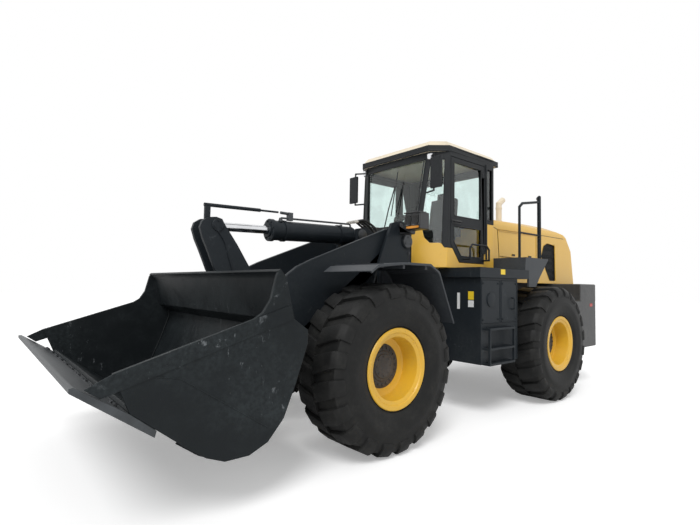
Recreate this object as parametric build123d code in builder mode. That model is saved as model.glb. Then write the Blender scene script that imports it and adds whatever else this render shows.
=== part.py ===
from build123d import *
import os
from math import cos, radians, sin, tan

# Articulated wheel loader, standing on level ground with its bucket at carry height.
# +X is forward, +Y is to the operator's left, +Z is up, and z = 0 is the ground.
# Profile points are millimetres ahead of the rear axle and above the ground.

os.makedirs("parts", exist_ok=True)

# Overall
wheelbase = 3300
track = 2200
lip_reach = 5950
rear_reach = 2200
rear_axle_x = (rear_reach - lip_reach) / 2

# Wheels
tyre_diameter = 1600
tyre_width = 597
rim_diameter = 762
bead_diameter = 635
lug_depth = 36
lug_count = 20
axle_height = tyre_diameter / 2
shaft_z = 950

# Pivots of the loader linkage, as (ahead of rear axle, above ground)
articulation_x = 1650
boom_pivot = (2420, 2100)
bucket_pivot = (4500, 560)
lever_pivot = (4250, 1520)
lever_head = (4544, 2136)
lever_foot = (3800, 900)
bucket_ear = (4330, 880)
tilt_base = (2700, 2190)
lift_base = (2300, 1360)
lift_head = (3770, 1300)

# Widths across the linkage
boom_outer = 575
boom_plate = 55
lever_outer = 120
lift_cylinder_y = 330
pin_radius = 45
pin_gap = 0.3

# Bucket
bucket_width = 2980
bucket_shell = 28
bucket_side = 32

# Towing clevis in the counterweight
tow_pin_x = -2148
tow_pin_radius = 26
tow_plate = 30

# Cab and platform
platform_top = 1810
cab_eave_z = 3290
cab_wall = 46
glass_thickness = 8

# Hood
hood_half = 640
hood_wall = 12
hood_bottom = 1650

# Sides of the polygons that stand in for round bars
pin_sides = 12
tube_sides = 6
wheel_sides = 20


def side(y):
    """Vertical plane along the machine, drawn as (ahead of rear axle, height)."""
    return Plane(origin=(rear_axle_x, y, 0), x_dir=(1, 0, 0), z_dir=(0, -1, 0))


def level(z):
    """Horizontal plane, drawn as (ahead of rear axle, left of centre)."""
    return Plane(origin=(rear_axle_x, 0, z), x_dir=(1, 0, 0), z_dir=(0, 0, 1))


def station(x):
    """Vertical plane across the machine, drawn as (left of centre, height)."""
    return Plane(origin=(rear_axle_x + x, 0, 0), x_dir=(0, 1, 0), z_dir=(1, 0, 0))


def on_side(hand, low, high):
    """The range from low to high on the left side, or its mirror on the right."""
    return (low, high) if hand > 0 else (-high, -low)


def save(name, piece):
    piece.part.label = name
    export_step(piece.part, f"parts/{name}.step")


def round_section(radius, sides):
    """A circle, or a polygon inscribed in it, with a flat on top."""
    if sides:
        RegularPolygon(radius, sides, rotation=180 / sides)
    else:
        Circle(radius)


def panel(points, plane, thickness, mode=Mode.ADD):
    """Adds, cuts or keeps a flat plate with the given outline."""
    with BuildSketch(plane) as outline:
        with BuildLine():
            Polyline(*points, close=True)
        make_face()
    extrude(outline.sketch, amount=thickness, mode=mode)


def plate(points, y_range, mode=Mode.ADD):
    """Adds, cuts or keeps an upright plate between two distances from the centre plane."""
    panel(points, side(y_range[1]), y_range[1] - y_range[0], mode)


def twin_plates(points, low, high, mode=Mode.ADD):
    """Adds or cuts the same plate on both sides of the machine's centre plane."""
    for hand in (-1, 1):
        plate(points, on_side(hand, low, high), mode)


def slab(points, bottom, thickness, mode=Mode.ADD):
    """Adds a horizontal plate with the given outline."""
    panel(points, level(bottom), thickness, mode)


def block(x_range, y_range, z_range, mode=Mode.ADD):
    """Adds or cuts a rectangular block between the given limits."""
    (x0, x1), (y0, y1) = x_range, y_range
    slab([(x0, y0), (x1, y0), (x1, y1), (x0, y1)], z_range[0], z_range[1] - z_range[0], mode)


def cross_bar(point, radius, y_range, sides=pin_sides, mode=Mode.ADD):
    """Adds or cuts a bar along Y through a point of the side view."""
    with BuildSketch(side(y_range[1])) as outline:
        with Locations(point):
            round_section(radius, sides)
    extrude(outline.sketch, amount=y_range[1] - y_range[0], mode=mode)


def cross_bore(point, radius, y_range, sides=0):
    """Cuts a bore along Y that clears a pin of the given radius."""
    reach = (radius + pin_gap) / cos(radians(180 / sides)) if sides else radius + pin_gap
    cross_bar(point, reach, y_range, sides, Mode.SUBTRACT)


def disc(point, radius, bottom, height, sides=pin_sides, mode=Mode.ADD):
    """Adds or cuts an upright bar at a point of the plan."""
    with BuildSketch(level(bottom)) as outline:
        with Locations(point):
            round_section(radius, sides)
    extrude(outline.sketch, amount=height, mode=mode)


def run_bar(start, end, radius, sides=12, mode=Mode.ADD):
    """Adds or cuts a straight bar between two 3-D points."""
    run = Vector(*end) - Vector(*start)
    origin = Vector(rear_axle_x, 0, 0) + Vector(*start)
    across = Vector(0, 1, 0) if abs(run.Y) < 0.9 * run.length else Vector(1, 0, 0)
    with BuildSketch(Plane(origin=origin, x_dir=across.cross(run), z_dir=run)) as outline:
        round_section(radius, sides)
    extrude(outline.sketch, amount=run.length, mode=mode)


def tube(points, radius, sides=tube_sides):
    """Adds a bent tube with mitred corners along 3-D points."""
    route = [(rear_axle_x + x, y, z) for x, y, z in points]
    with BuildLine() as path:
        Polyline(*route)
    with BuildSketch(Plane(path.line @ 0, z_dir=path.line % 0)) as section:
        round_section(radius, sides)
    sweep(section.sketch, path=path.line, transition=Transition.RIGHT)


def turned(profile, sides):
    """Adds a faceted turned form about Y from its closed outline of (distance along Y, radius) points."""
    reach = 1200
    half = reach * tan(radians(180 / sides))
    with BuildPart(mode=Mode.PRIVATE) as sector:
        panel(profile, Plane.YZ.offset(-half), 2 * half)
        panel([(0, 0), (-half, reach), (half, reach)], Plane.XZ.offset(-reach), 2 * reach, Mode.INTERSECT)
    with Locations(*[Location((0, 0, 0), (0, i * 360 / sides, 0)) for i in range(sides)]):
        add(sector.part)


# Tyre with angled lugs; the body is a ring with bulged walls, and y is the distance from its middle
rim_edge = rim_diameter / 2
bead_radius = bead_diameter / 2
tread_radius = axle_height - lug_depth
tyre_half = tyre_width / 2
bead_half = 240
shoulder_half = 258
bulge_radius = 585
lug_reach = 125
lug_top = (axle_height**2 - lug_reach**2) ** 0.5

with BuildPart() as tyre_form:
    wall = [
        (shoulder_half, tread_radius - 4), (tyre_half, bulge_radius), (bead_half, rim_edge + 9), (bead_half, bead_radius + 1),
    ]
    turned(wall + [(-y, r) for y, r in reversed(wall)], wheel_sides)
    for hand in (-1, 1):
        with BuildPart(mode=Mode.PRIVATE) as lug:
            # Each lug trails from the middle of the tread to the shoulder
            plan = [(-45, 8), (lug_reach, 8), (45, 330), (-lug_reach, 330)]
            panel([(x, hand * y) for x, y in plan], Plane.XY.offset(tread_radius - 120), 200)
            crown = [
                (-10, lug_top), (-10, 735), (226, 735), (tyre_half - 1, 680), (tyre_half - 4, 735), (250, lug_top),
            ]
            panel([(hand * y, z) for y, z in crown], Plane.YZ.offset(-200), 400, Mode.INTERSECT)
        first = 180 / lug_count if hand > 0 else 0
        turns = [first + i * 360 / lug_count for i in range(lug_count)]
        with Locations(*[Location((0, 0, 0), (0, turn, 0)) for turn in turns]):
            add(lug.part)

# Rim with a deep barrel, its disc and the hub, outer face towards +Y
hub_radius = 205
with BuildPart() as rim_form:
    barrel_outside = [(-262, rim_edge), (-241, bead_radius), (241, bead_radius), (262, rim_edge)]
    well = [(262, rim_edge - 19), (236, 288), (22, 272), (22, hub_radius), (75, hub_radius)]
    back = [(75, 0), (-8, 0), (-8, 250), (-262, 350)]
    turned(barrel_outside + well + back, wheel_sides)

corners = {
    "front_left": (wheelbase, 1),
    "front_right": (wheelbase, -1),
    "rear_left": (0, 1),
    "rear_right": (0, -1),
}
for corner, (ahead, hand) in corners.items():
    spot = Location((rear_axle_x + ahead, hand * track / 2, axle_height))
    with BuildPart() as tyre:
        with Locations(spot):
            add(tyre_form.part if hand > 0 else tyre_form.part.mirror(Plane.XZ))
    save(f"tyre_{corner}", tyre)
    with BuildPart() as rim:
        with Locations(spot):
            add(rim_form.part if hand > 0 else rim_form.part.mirror(Plane.XZ))
    save(f"wheel_{corner}", rim)

# Axles: a differential ball, tubes and brake housings that end at the wheel discs
axle_end = track / 2 - 8
axle_tube = 112
housing_end = axle_end - 22
axle_bank = [(150, 205), (240, axle_tube), (740, axle_tube), (800, 190), (housing_end, 190), (housing_end, 0)]
for name, ahead in (("front_axle", wheelbase), ("rear_axle", 0)):
    with BuildPart(mode=Mode.PRIVATE) as housing:
        turned([(-y, r) for y, r in reversed(axle_bank)] + axle_bank, 8)
    with BuildPart() as axle:
        with Locations(Location((rear_axle_x + ahead, 0, axle_height))):
            add(housing.part)
        for hand in (-1, 1):
            cross_bar((ahead, axle_height), 12, on_side(hand, housing_end, axle_end), 0)
    save(name, axle)

# Rear frame: twin rails, bulkheads, tapered neck, articulation fork and axle saddles
rail_y = 430
rail_plate = 30
neck_rear = (912, 320)
neck_front = (1400, 205)
fork_bottoms = (520, 680, 1215, 1375)
fork_plate = 45
with BuildPart() as rear_frame:
    rail = [
        (-1300, 780), (-1300, 1300), (912, 1300), (912, 640), (470, 640), (330, 1000), (-330, 1000), (-470, 780),
    ]
    twin_plates(rail, rail_y - rail_plate, rail_y)
    block((880, 912), (-rail_y, rail_y), (520, 1420))
    block((-1300, -1270), (-rail_y, rail_y), (780, 1300))
    for hand in (-1, 1):
        neck = [neck_rear, neck_front, (neck_front[0], neck_front[1] - 30), (neck_rear[0], neck_rear[1] - 30)]
        slab([(x, hand * y) for x, y in neck], 520, 900)
        block((-170, 170), on_side(hand, 300, rail_y - rail_plate), (axle_height + axle_tube, 1010))
        block((880, 912), on_side(hand, rail_y, 620), (1100, 1420))
        for x in (-1040, -420):
            block((x, x + 100), on_side(hand, 340, rail_y - rail_plate), (1180, 1240))
        block((450, 560), on_side(hand, 330, rail_y - rail_plate), (1000, 1060))
        block((650, 730), on_side(hand, 370, rail_y), (1300, 1640))
        block((1310, 1390), on_side(hand, 120, 200), (1420, 1640))
        for z in (715, 860):
            block((912, 1045), on_side(hand, 330, 450), (z, z + 25))
    block((1370, 1400), (-190, 190), (520, 1420))
    for x in (640, 1310):
        block((x, x + 90), (-600, 600), (1640, 1690))
    block((1320, 1380), (-620, 620), (1380, 1420))
    for bottom in fork_bottoms:
        slab([(1400, -205), (1600, -150), (1600, 150), (1400, 205)], bottom, fork_plate)
        disc((articulation_x, 0), 158, bottom, fork_plate)
    for low in (510, 1205):
        disc((articulation_x, 0), 55, low, 225)
    run_bar((860, 0, shaft_z), (1420, 0, shaft_z), 80, 8, Mode.SUBTRACT)
    for hand in (-1, 1):
        disc((1000, hand * 391), 30, 740, 120, 0)
save("rear_frame", rear_frame)

# Counterweight: a low body and a raised rear block, with the towing clevis in a rear channel
with BuildPart() as counterweight:
    low_plan = [
        (-950, -1150), (-1750, -1150), (-2090, -1000), (-rear_reach, -700), (-rear_reach, 700), (-2090, 1000),
        (-1750, 1150), (-950, 1150), (-950, 800), (-1300, 470), (-1300, -470), (-950, -800),
    ]
    slab(low_plan, 620, 750)
    high_plan = [
        (-1170, -1150), (-1750, -1150), (-2090, -1000), (-rear_reach, -700), (-rear_reach, 700), (-2090, 1000),
        (-1750, 1150), (-1170, 1150), (-1300, 470), (-1300, -470),
    ]
    slab(high_plan, 1370, hood_bottom - 1370)
    undercut = [(-3000, 400), (-3000, 1483), (-2200, 860), (-1890, 620), (-1890, 400)]
    plate(undercut, (-1300, 1300), Mode.SUBTRACT)
    block((-2300, -2040), (-150, 150), (760, hood_bottom + 10), Mode.SUBTRACT)
    for bottom in (850, 960):
        block((tow_pin_x, -2040), (-52, 52), (bottom, bottom + tow_plate))
        disc((tow_pin_x, 0), 52, bottom, tow_plate)
        disc((tow_pin_x, 0), tow_pin_radius, bottom - 10, tow_plate + 20, 0, Mode.SUBTRACT)
save("counterweight", counterweight)

with BuildPart() as engine_block:
    block((-1180, -245), (-340, 340), (1035, 2050))
save("engine_block", engine_block)

with BuildPart() as transmission:
    block((250, 780), (-330, 330), (700, 1280))
save("transmission", transmission)

with BuildPart() as centre_driveshaft:
    run_bar((780, 0, shaft_z), (1590, 0, shaft_z), 48)
    run_bar((780, 0, shaft_z), (830, 0, shaft_z), 75)
save("centre_driveshaft", centre_driveshaft)

front_shaft = ((1715, 0, shaft_z), (3080, 0, 830))
with BuildPart() as front_driveshaft:
    run_bar(*front_shaft, 48)
save("front_driveshaft", front_driveshaft)

# Hood: a hollow shell with folded upper edges, door openings and grille openings
hood_profile = [
    (600, hood_bottom), (600, 2545), (560, 2572), (-640, 2615), (-1183, 2614), (-1764, 2534), (-2006, 2245),
    (-2112, hood_bottom),
]
hood_section = [
    (-hood_half, 1600), (-hood_half, 2470), (-600, 2560), (-480, 2640),
    (480, 2640), (600, 2560), (hood_half, 2470), (hood_half, 1600),
]
door_opening = [(392, 2030), (432, 2427), (-700, 2447), (-700, 2030)]
grille_opening = [(-882, 2099), (-971, 2279), (-1097, 2331), (-1378, 2311), (-1399, 1700), (-1172, 1700)]
rear_opening = (430, 1720, 2240)


def hood_form(inset):
    """The hood's closed volume, inset from its outer faces and open below."""
    with BuildPart() as form:
        with BuildSketch(side(hood_half - inset)) as outline:
            with BuildLine():
                Polyline(*hood_profile, close=True)
            make_face()
            if inset:
                offset(amount=-inset, kind=Kind.INTERSECTION, mode=Mode.REPLACE)
        extrude(outline.sketch, amount=2 * (hood_half - inset))
        with BuildSketch(station(-2400)) as section:
            with BuildLine():
                Polyline(*hood_section, close=True)
            make_face()
            if inset:
                offset(amount=-inset, kind=Kind.INTERSECTION, mode=Mode.REPLACE)
        extrude(section.sketch, amount=3200, mode=Mode.INTERSECT)
        if inset:
            block((-2100, 588), (inset - hood_half, hood_half - inset), (hood_bottom - 10, hood_bottom + 2 * inset))
    return form.part


with BuildPart() as hood:
    add(hood_form(0))
    add(hood_form(hood_wall), mode=Mode.SUBTRACT)
    for opening in (door_opening, grille_opening):
        plate(opening, (-1000, 1000), Mode.SUBTRACT)
    half, low, high = rear_opening
    block((-2300, -1850), (-half, half), (low, high), Mode.SUBTRACT)
    disc((-650, 0), 62, 2400, 400, 12, Mode.SUBTRACT)
save("hood", hood)

# Engine doors, hung from a rod along their upper edges
door_gap = 6
for hand, name in ((1, "engine_door_left"), (-1, "engine_door_right")):
    with BuildPart() as engine_door:
        leaf = [
            (392 - door_gap, 2030 + door_gap), (432 - door_gap, 2427 - door_gap),
            (-700 + door_gap, 2447 - door_gap), (-700 + door_gap, 2030 + door_gap),
        ]
        plate(leaf, on_side(hand, hood_half - hood_wall, hood_half))
        run_bar((414, hand * 645, 2414), (-680, hand * 645, 2433.8), 7, 0)
    save(name, engine_door)

with BuildPart() as side_grilles:
    for hand in (-1, 1):
        for x in (-1425, -905):
            block((x, x + 25), on_side(hand, 600, hood_half - hood_wall), (1690, 2350))
        for i in range(5):
            z = 1750 + 115 * i
            block((-1400, -905), on_side(hand, 600, 618), (z, z + 45))
save("side_grilles", side_grilles)

with BuildPart() as rear_grille:
    for i in range(7):
        z = 1745 + 70 * i
        rear_face = -2095 + (z - hood_bottom) * 0.178
        plate([(rear_face, z), (rear_face + 5, z + 28), (-1950, z + 28), (-1950, z)], (-430, 430))
save("rear_grille", rear_grille)

with BuildPart() as exhaust_stack:
    tube([(-650, 0, 2050), (-650, 0, 3030), (-780, 0, 3120)], 50, 12)
save("exhaust_stack", exhaust_stack)

# Cab: one shell, split into skirt, upper frame and doors, with glass in its windows
cab_floor = platform_top
cab_plan = [(720, 720), (800, 800), (2200, 800), (2200, -800), (800, -800), (720, -720)]
# Each leaning front face: its turn in plan, and its distance from the rear axle at floor and at eave
cab_front = [(0, 2125, 1970), (5.3, 2134.3, 1991.5), (-5.3, 2134.3, 1991.5), (37.15, 1957.7, 1909.8), (-37.15, 1957.7, 1909.8)]


def facing(turn):
    """Vertical plane whose horizontal axis is turned from straight ahead, drawn as (ahead, height)."""
    across = Vector(sin(radians(turn)), -cos(radians(turn)), 0)
    return Plane(origin=Vector(rear_axle_x, 0, 0) - across * 2000, x_dir=(-across.Y, across.X, 0), z_dir=across)


def cab_form(inset):
    """Closed cab volume, inset from its outer faces."""
    with BuildPart() as form:
        with BuildSketch(level(cab_floor)) as plan:
            with BuildLine():
                Polyline(*cab_plan, close=True)
            make_face()
            if inset:
                offset(amount=-inset, kind=Kind.INTERSECTION, mode=Mode.REPLACE)
        extrude(plan.sketch, amount=cab_eave_z - cab_floor)
        for turn, low, high in cab_front:
            lean = [(0, cab_floor), (low - inset, cab_floor), (high - inset, cab_eave_z), (0, cab_eave_z)]
            panel(lean, facing(turn), 4000, Mode.INTERSECT)
    return form.part


door_hole = [(1030, 1880), (1030, 3230), (1775, 3230), (1775, 2110), (1590, 1880)]
door_leaf = [(1036, 1886), (1036, 3224), (1769, 3224), (1769, 2112), (1587, 1886)]
door_panes = [
    [(1100, 2470), (1100, 3170), (1711, 3170), (1711, 2470)],
    [(1100, 1960), (1100, 2350), (1711, 2350), (1711, 2140), (1560, 1960)],
]
rear_quarter = [(830, 2490), (830, 3210), (975, 3210), (975, 2490)]
front_quarter = [(115, 2120), (150, 3190), (-20, 3190), (-135, 2350), (-100, 2190), (-30, 2120)]
skirt_line = [
    (600, 1700), (600, 2440), (1000, 2440), (1000, 2060), (1860, 2060), (1960, 2310), (2400, 2310), (2400, 1700),
]


def wall_prism(points, hand, mode):
    """Adds, cuts or keeps a prism through one side wall of the cab."""
    plate(points, on_side(hand, 600, 900), mode)


def cab_windows(mode):
    """Adds, cuts or keeps the openings of the fixed windows."""
    with BuildPart(mode=Mode.PRIVATE) as openings:
        panel([(-460, 2360), (-535, 3200), (535, 3200), (460, 2360)], station(1500), 1000)
        panel([(-620, 2490), (-620, 3190), (620, 3190), (620, 2490)], station(500), 400)
        for hand in (-1, 1):
            wall_prism(rear_quarter, hand, Mode.ADD)
            corner = Plane(
                origin=(rear_axle_x + 1850, hand * 570, 0), x_dir=(-0.604 * hand, 0.797, 0), z_dir=(0.797, 0.604 * hand, 0)
            )
            panel([(x * hand, z) for x, z in front_quarter], corner, 300)
    add(openings.part, mode=mode)


with BuildPart() as cab_shell:
    add(cab_form(0))
    add(cab_form(cab_wall), mode=Mode.SUBTRACT)
    cab_windows(Mode.SUBTRACT)
    for hand in (-1, 1):
        wall_prism(door_hole, hand, Mode.SUBTRACT)
with BuildPart() as cab_skirt:
    add(cab_shell.part)
    plate(skirt_line, (-1000, 1000), Mode.INTERSECT)
    with BuildPart(mode=Mode.PRIVATE) as floor:
        add(cab_form(20))
        block((600, 2300), (-900, 900), (cab_floor, cab_floor + 40), Mode.INTERSECT)
    add(floor.part)
save("cab_skirt", cab_skirt)
with BuildPart() as cab_frame:
    add(cab_shell.part)
    plate(skirt_line, (-1000, 1000), Mode.SUBTRACT)
save("cab_frame", cab_frame)

pane_shell = cab_form(18) - cab_form(18 + glass_thickness)
with BuildPart() as cab_glass:
    cab_windows(Mode.ADD)
    add(pane_shell, mode=Mode.INTERSECT)
save("cab_glass", cab_glass)

# Doors, each with two hinge knuckles on its rear edge and a grab loop outside
door_hinge = (1042, 812)
for hand, name in ((1, "left"), (-1, "right")):
    with BuildPart() as cab_door:
        wall_prism(door_leaf, hand, Mode.ADD)
        add(cab_form(0) - cab_form(cab_wall), mode=Mode.INTERSECT)
        for pane in door_panes:
            wall_prism(pane, hand, Mode.SUBTRACT)
        for z in (2020, 3060):
            disc((door_hinge[0], hand * door_hinge[1]), 11, z, 70, 0)
            block((1042, 1095), on_side(hand, 800, 812), (z, z + 70))
        loop = [(1500, 1930), (1500, 2070), (1450, 2120), (1130, 2120), (1070, 2070), (1070, 1930)]
        foot = [(1500, hand * 795, 1930)] + [(x, hand * 900, z) for x, z in loop] + [(1070, hand * 795, 1930)]
        tube(foot, 14, 6)
    save(f"cab_door_{name}", cab_door)
    with BuildPart() as door_glass:
        for pane in door_panes:
            wall_prism(pane, hand, Mode.ADD)
        add(pane_shell, mode=Mode.INTERSECT)
    save(f"door_glass_{name}", door_glass)

# Roof with chamfered front corners and a crowned top
with BuildPart() as cab_roof:
    roof_plan = [(-620, 2000), (-800, 1800), (-780, 660), (780, 660), (800, 1800), (620, 2000)]
    roof_outline = [(x, y) for y, x in roof_plan]
    slab(roof_outline, cab_eave_z, 60)
    with BuildSketch(level(cab_eave_z + 60)):
        with BuildLine():
            Polyline(*roof_outline, close=True)
        make_face()
    with BuildSketch(level(3440)):
        with BuildLine():
            Polyline(*roof_outline, close=True)
        make_face()
        offset(amount=-70, kind=Kind.INTERSECTION, mode=Mode.REPLACE)
    loft(ruled=True)
save("cab_roof", cab_roof)

with BuildPart() as seat:
    block((900, 1250), (-200, 200), (1850, 2250))
    block((880, 1380), (-250, 250), (2250, 2380))
    plate([(870, 2380), (790, 2950), (900, 2950), (1000, 2380)], (-230, 230))
save("seat", seat)

with BuildPart() as steering_column:
    plate([(1840, 1850), (1700, 2420), (1760, 2450), (1960, 2040), (1960, 1850)], (-60, 60))
    wheel_plane = Plane(origin=(rear_axle_x + 1705, 0, 2430), x_dir=(0, 1, 0), z_dir=(-0.42, 0, 0.907))
    with BuildSketch(wheel_plane) as rim_plan:
        RegularPolygon(200, pin_sides)
        RegularPolygon(172, pin_sides, mode=Mode.SUBTRACT)
        Rectangle(370, 40)
        Rectangle(80, 80)
    extrude(rim_plan.sketch, amount=26)
save("steering_column", steering_column)

# Mirrors on tubes from the windscreen pillars
with BuildPart() as mirrors:
    for hand in (-1, 1):
        block((2020, 2050), on_side(hand, 690, 860), (2790, 3180))
        tube([(1925, hand * 590, 3225), (2035, hand * 740, 3225), (2035, hand * 740, 3180)], 12, 6)
        tube([(1975, hand * 560, 2760), (2035, hand * 740, 2760), (2035, hand * 740, 2790)], 12, 6)
    add(cab_form(0), mode=Mode.SUBTRACT)
save("mirrors", mirrors)

# Platforms, side boxes with steps, and rear fenders
for hand, name in ((1, "left"), (-1, "right")):
    with BuildPart() as side_box:
        block((880, 1713), on_side(hand, 620, 1200), (650, 1690))
        for z in (645, 825, 1060):
            block((1110, 1670), on_side(hand, 1190, 1300), (z, z + 25))
        for x in (1110, 1650):
            block((x, x + 20), on_side(hand, 1270, 1300), (645, 1060))
    save(f"side_box_{name}", side_box)

with BuildPart() as platform:
    for hand in (-1, 1):
        block((612, 1760), on_side(hand, 600, 1220), (1690, platform_top))
    block((600, 1400), (-600, 600), (1690, platform_top))
save("platform", platform)

fender_top = 1985
with BuildPart() as rear_fenders:
    for hand in (-1, 1):
        front = [(612, platform_top), (712, platform_top), (690, fender_top), (70, fender_top)]
        arch = [(70, fender_top - 15), (330, 1700), (420, 1585), (612, 1585)]
        plate(front + arch, on_side(hand, 1190, 1220))
        sheet = [(70, fender_top - 15), (678, fender_top - 15), (700, platform_top)]
        plate(front[1:] + sheet, on_side(hand, hood_half, 1190))
save("rear_fenders", rear_fenders)

with BuildPart() as handrails:
    for hand in (-1, 1):
        y = hand * 1110
        tube([(660, y, fender_top), (660, y, 2680), (580, y, 2740), (125, y, 2815)], 20)
        tube([(110, y, fender_top), (110, y, 2880), (40, hand * 1060, 2880)], 30)
        run_bar((660, y, 2330), (110, y, 2330), 14, 6)
save("handrails", handrails)

# Front frame: articulation tongues, box neck over the driveshaft, and axle saddles
with BuildPart() as front_frame:
    for low in (570, 1265):
        disc((articulation_x, 0), 150, low, 105)
        slab([(articulation_x, -150), (2000, -280), (2000, 280), (articulation_x, 150)], low, 105)
    for low in (560, 1255):
        disc((articulation_x, 0), 58, low, 130, 0, Mode.SUBTRACT)
    block((2000, 2030), (-280, 280), (520, 1420))
    neck_side = [
        (2030, 520), (2030, 1420), (2300, 1420), (3575, 1096), (3575, 760), (3540, 760), (3490, 1010), (3110, 1010),
        (3050, 640),
    ]
    twin_plates(neck_side, 180, 215)
    block((3545, 3575), (-180, 180), (760, 1070))
    block((2030, 3545), (-180, 180), (1044, 1070))
    run_bar((1990, 0, 925.5), (2050, 0, 920), 90, 8, Mode.SUBTRACT)
    for hand in (-1, 1):
        for z in (715, 860):
            block((2030, 2130), on_side(hand, 215, 400), (z, z + 25))
        block((3180, 3420), on_side(hand, 215, 420), (990, 1040))
        block((3180, 3420), on_side(hand, 260, 420), (axle_height + axle_tube, 990))
save("front_frame", front_frame)

# Loader tower: two pairs of plates with the boom pins, and the ears of the tilt cylinder
tower_outer = 645
with BuildPart() as loader_tower:
    tower = [
        (2330, 1700), (2330, 2230), (2390, 2325), (2534, 2333), (2668, 2297), (2861, 1844), (2861, 1150),
        (2600, 980), (2240, 980), (2240, 1640),
    ]
    twin_plates(tower, tower_outer - 40, tower_outer)
    inner = [(2330, 1700), (2330, 2160), (2420, 2240), (2560, 2200), (2800, 1500), (2600, 980), (2240, 980), (2240, 1640)]
    twin_plates(inner, 440, 470)
    for hand in (-1, 1):
        block((2240, 2600), on_side(hand, 215, tower_outer), (980, 1010))
        block((2240, 2265), on_side(hand, 215, tower_outer), (1010, 1250))
        cross_bar(boom_pivot, 90, on_side(hand, 599.5, 660))
        cross_bar(boom_pivot, 90, on_side(hand, 425, 475.5))
        cross_bar(boom_pivot, pin_radius, on_side(hand, 470, 610), 0)
        cross_bar(lift_base, 40, on_side(hand, 215, 445), 0)
    ears = [(2300, 1070), (2330, 1740), (2330, 2150), (2640, 2290), (2790, 2260), (2790, 2110), (2430, 1600), (2480, 1070)]
    twin_plates(ears, 135, 170)
    block((2330, 2355), (-440, 440), (1740, 2000))
    block((2330, 2355), (-135, 135), (1070, 1740))
    cross_bar(tilt_base, pin_radius, (-150, 150), 0)
save("loader_tower", loader_tower)

with BuildPart() as front_fenders:
    for hand in (-1, 1):
        outer = [(3690, 1700), (3600, 1760), (3246, 1795), (2880, 1795), (2740, 1720), (2500, 1200)]
        inner = [(2512, 1195), (2750, 1710), (2885, 1783), (3246, 1783), (3597, 1749), (3684, 1690)]
        plate(outer + inner, on_side(hand, 700, 1400))
        bracket = [(2700, 1560), (2861, 1560), (2861, 1783), (2750, 1710), (2690, 1585)]
        plate(bracket, on_side(hand, tower_outer, 700))
save("front_fenders", front_fenders)

with BuildPart() as headlights:
    for hand in (-1, 1):
        block((2440, 2600), on_side(hand, 790, 1010), (2210, 2400))
        block((2480, 2560), on_side(hand, 662, 840), (2165, 2210))
        block((2520, 2560), on_side(hand, tower_outer, 662), (2250, 2300))
        block((2520, 2560), on_side(hand, 662, 680), (2165, 2300))
save("headlights", headlights)

# Boom: two bowed plates, torque tube, lever brackets and bosses
boom_inner = boom_outer - boom_plate
torque_tube = (3900, 1450)
with BuildPart() as boom:
    boom_side = [
        (2330, 2150), (2390, 2230), (2557, 2262), (2700, 2228), (3370, 1972), (3728, 1831), (3911, 1747),
        (4032, 1660), (4190, 1480), (4270, 1300), (4330, 1050), (4410, 800), (4560, 640), (4440, 465),
        (4330, 560), (4100, 850), (3851, 1121), (3415, 1412), (2560, 1950), (2350, 2020),
    ]
    twin_plates(boom_side, boom_inner, boom_outer)
    for hand in (-1, 1):
        cross_bar(boom_pivot, 100, on_side(hand, 480, 595))
        cross_bar(bucket_pivot, 105, on_side(hand, 498, 597))
        cross_bar(lift_head, 70, on_side(hand, 380, boom_inner))
        bracket = [(3830, 1560), (3830, 1400), (3960, 1350), (4300, 1430), (4345, 1520), (4300, 1610), (4000, 1620)]
        plate(bracket, on_side(hand, 160, 200))
        cross_bar(lever_pivot, pin_radius, on_side(hand, 128, 210))
    cross_bar(torque_tube, 105, (-boom_inner, boom_inner))
    cross_bore(boom_pivot, pin_radius, (-660, 660), pin_sides)
    cross_bore(bucket_pivot, pin_radius, (-660, 660), pin_sides)
save("boom", boom)

# The hinge pins of the bucket and of the tilt lever
with BuildPart() as bucket_pins:
    for hand in (-1, 1):
        cross_bar(bucket_pivot, pin_radius, on_side(hand, 455, 640))
        cross_bar(bucket_pivot, 20, on_side(hand, 640, 648), 0)
save("bucket_pins", bucket_pins)

with BuildPart() as lever_pin:
    cross_bar(lever_pivot, pin_radius, (-lever_outer, lever_outer))
    cross_bar(lever_pivot, 15, (lever_outer, lever_outer + 2), 0)
save("lever_pin", lever_pin)

with BuildPart() as tilt_lever:
    lever_side = [
        (4468, 2145), (4500, 2200), (4560, 2215), (4640, 2205), (4700, 2165), (4721, 2100), (4690, 2000),
        (4640, 1890), (4560, 1700), (4510, 1620), (4440, 1500), (4380, 1400), (4180, 1180), (3900, 830),
        (3800, 790), (3710, 850), (3700, 950), (3790, 1080), (4010, 1360), (4080, 1560), (4154, 1680), (4330, 1955),
    ]
    twin_plates(lever_side, lever_outer - 45, lever_outer)
    cross_bar(lever_pivot, 125, (45 - lever_outer, lever_outer - 45))
    cross_bore(lever_pivot, pin_radius, (-130, 130), pin_sides)
    cross_bar(lever_foot, pin_radius, (45 - lever_outer, lever_outer - 45), 0)
save("tilt_lever", tilt_lever)

with BuildPart() as bucket_link:
    link_side = [(3800, 955), (3800, 845), (4335, 830), (4345, 930)]
    plate(link_side, (-50, 50))
    cross_bar(lever_foot, 90, (-60, 60))
    cross_bar(bucket_ear, 80, (-60, 60))
    cross_bore(lever_foot, pin_radius, (-70, 70), pin_sides)
save("bucket_link", bucket_link)

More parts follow.
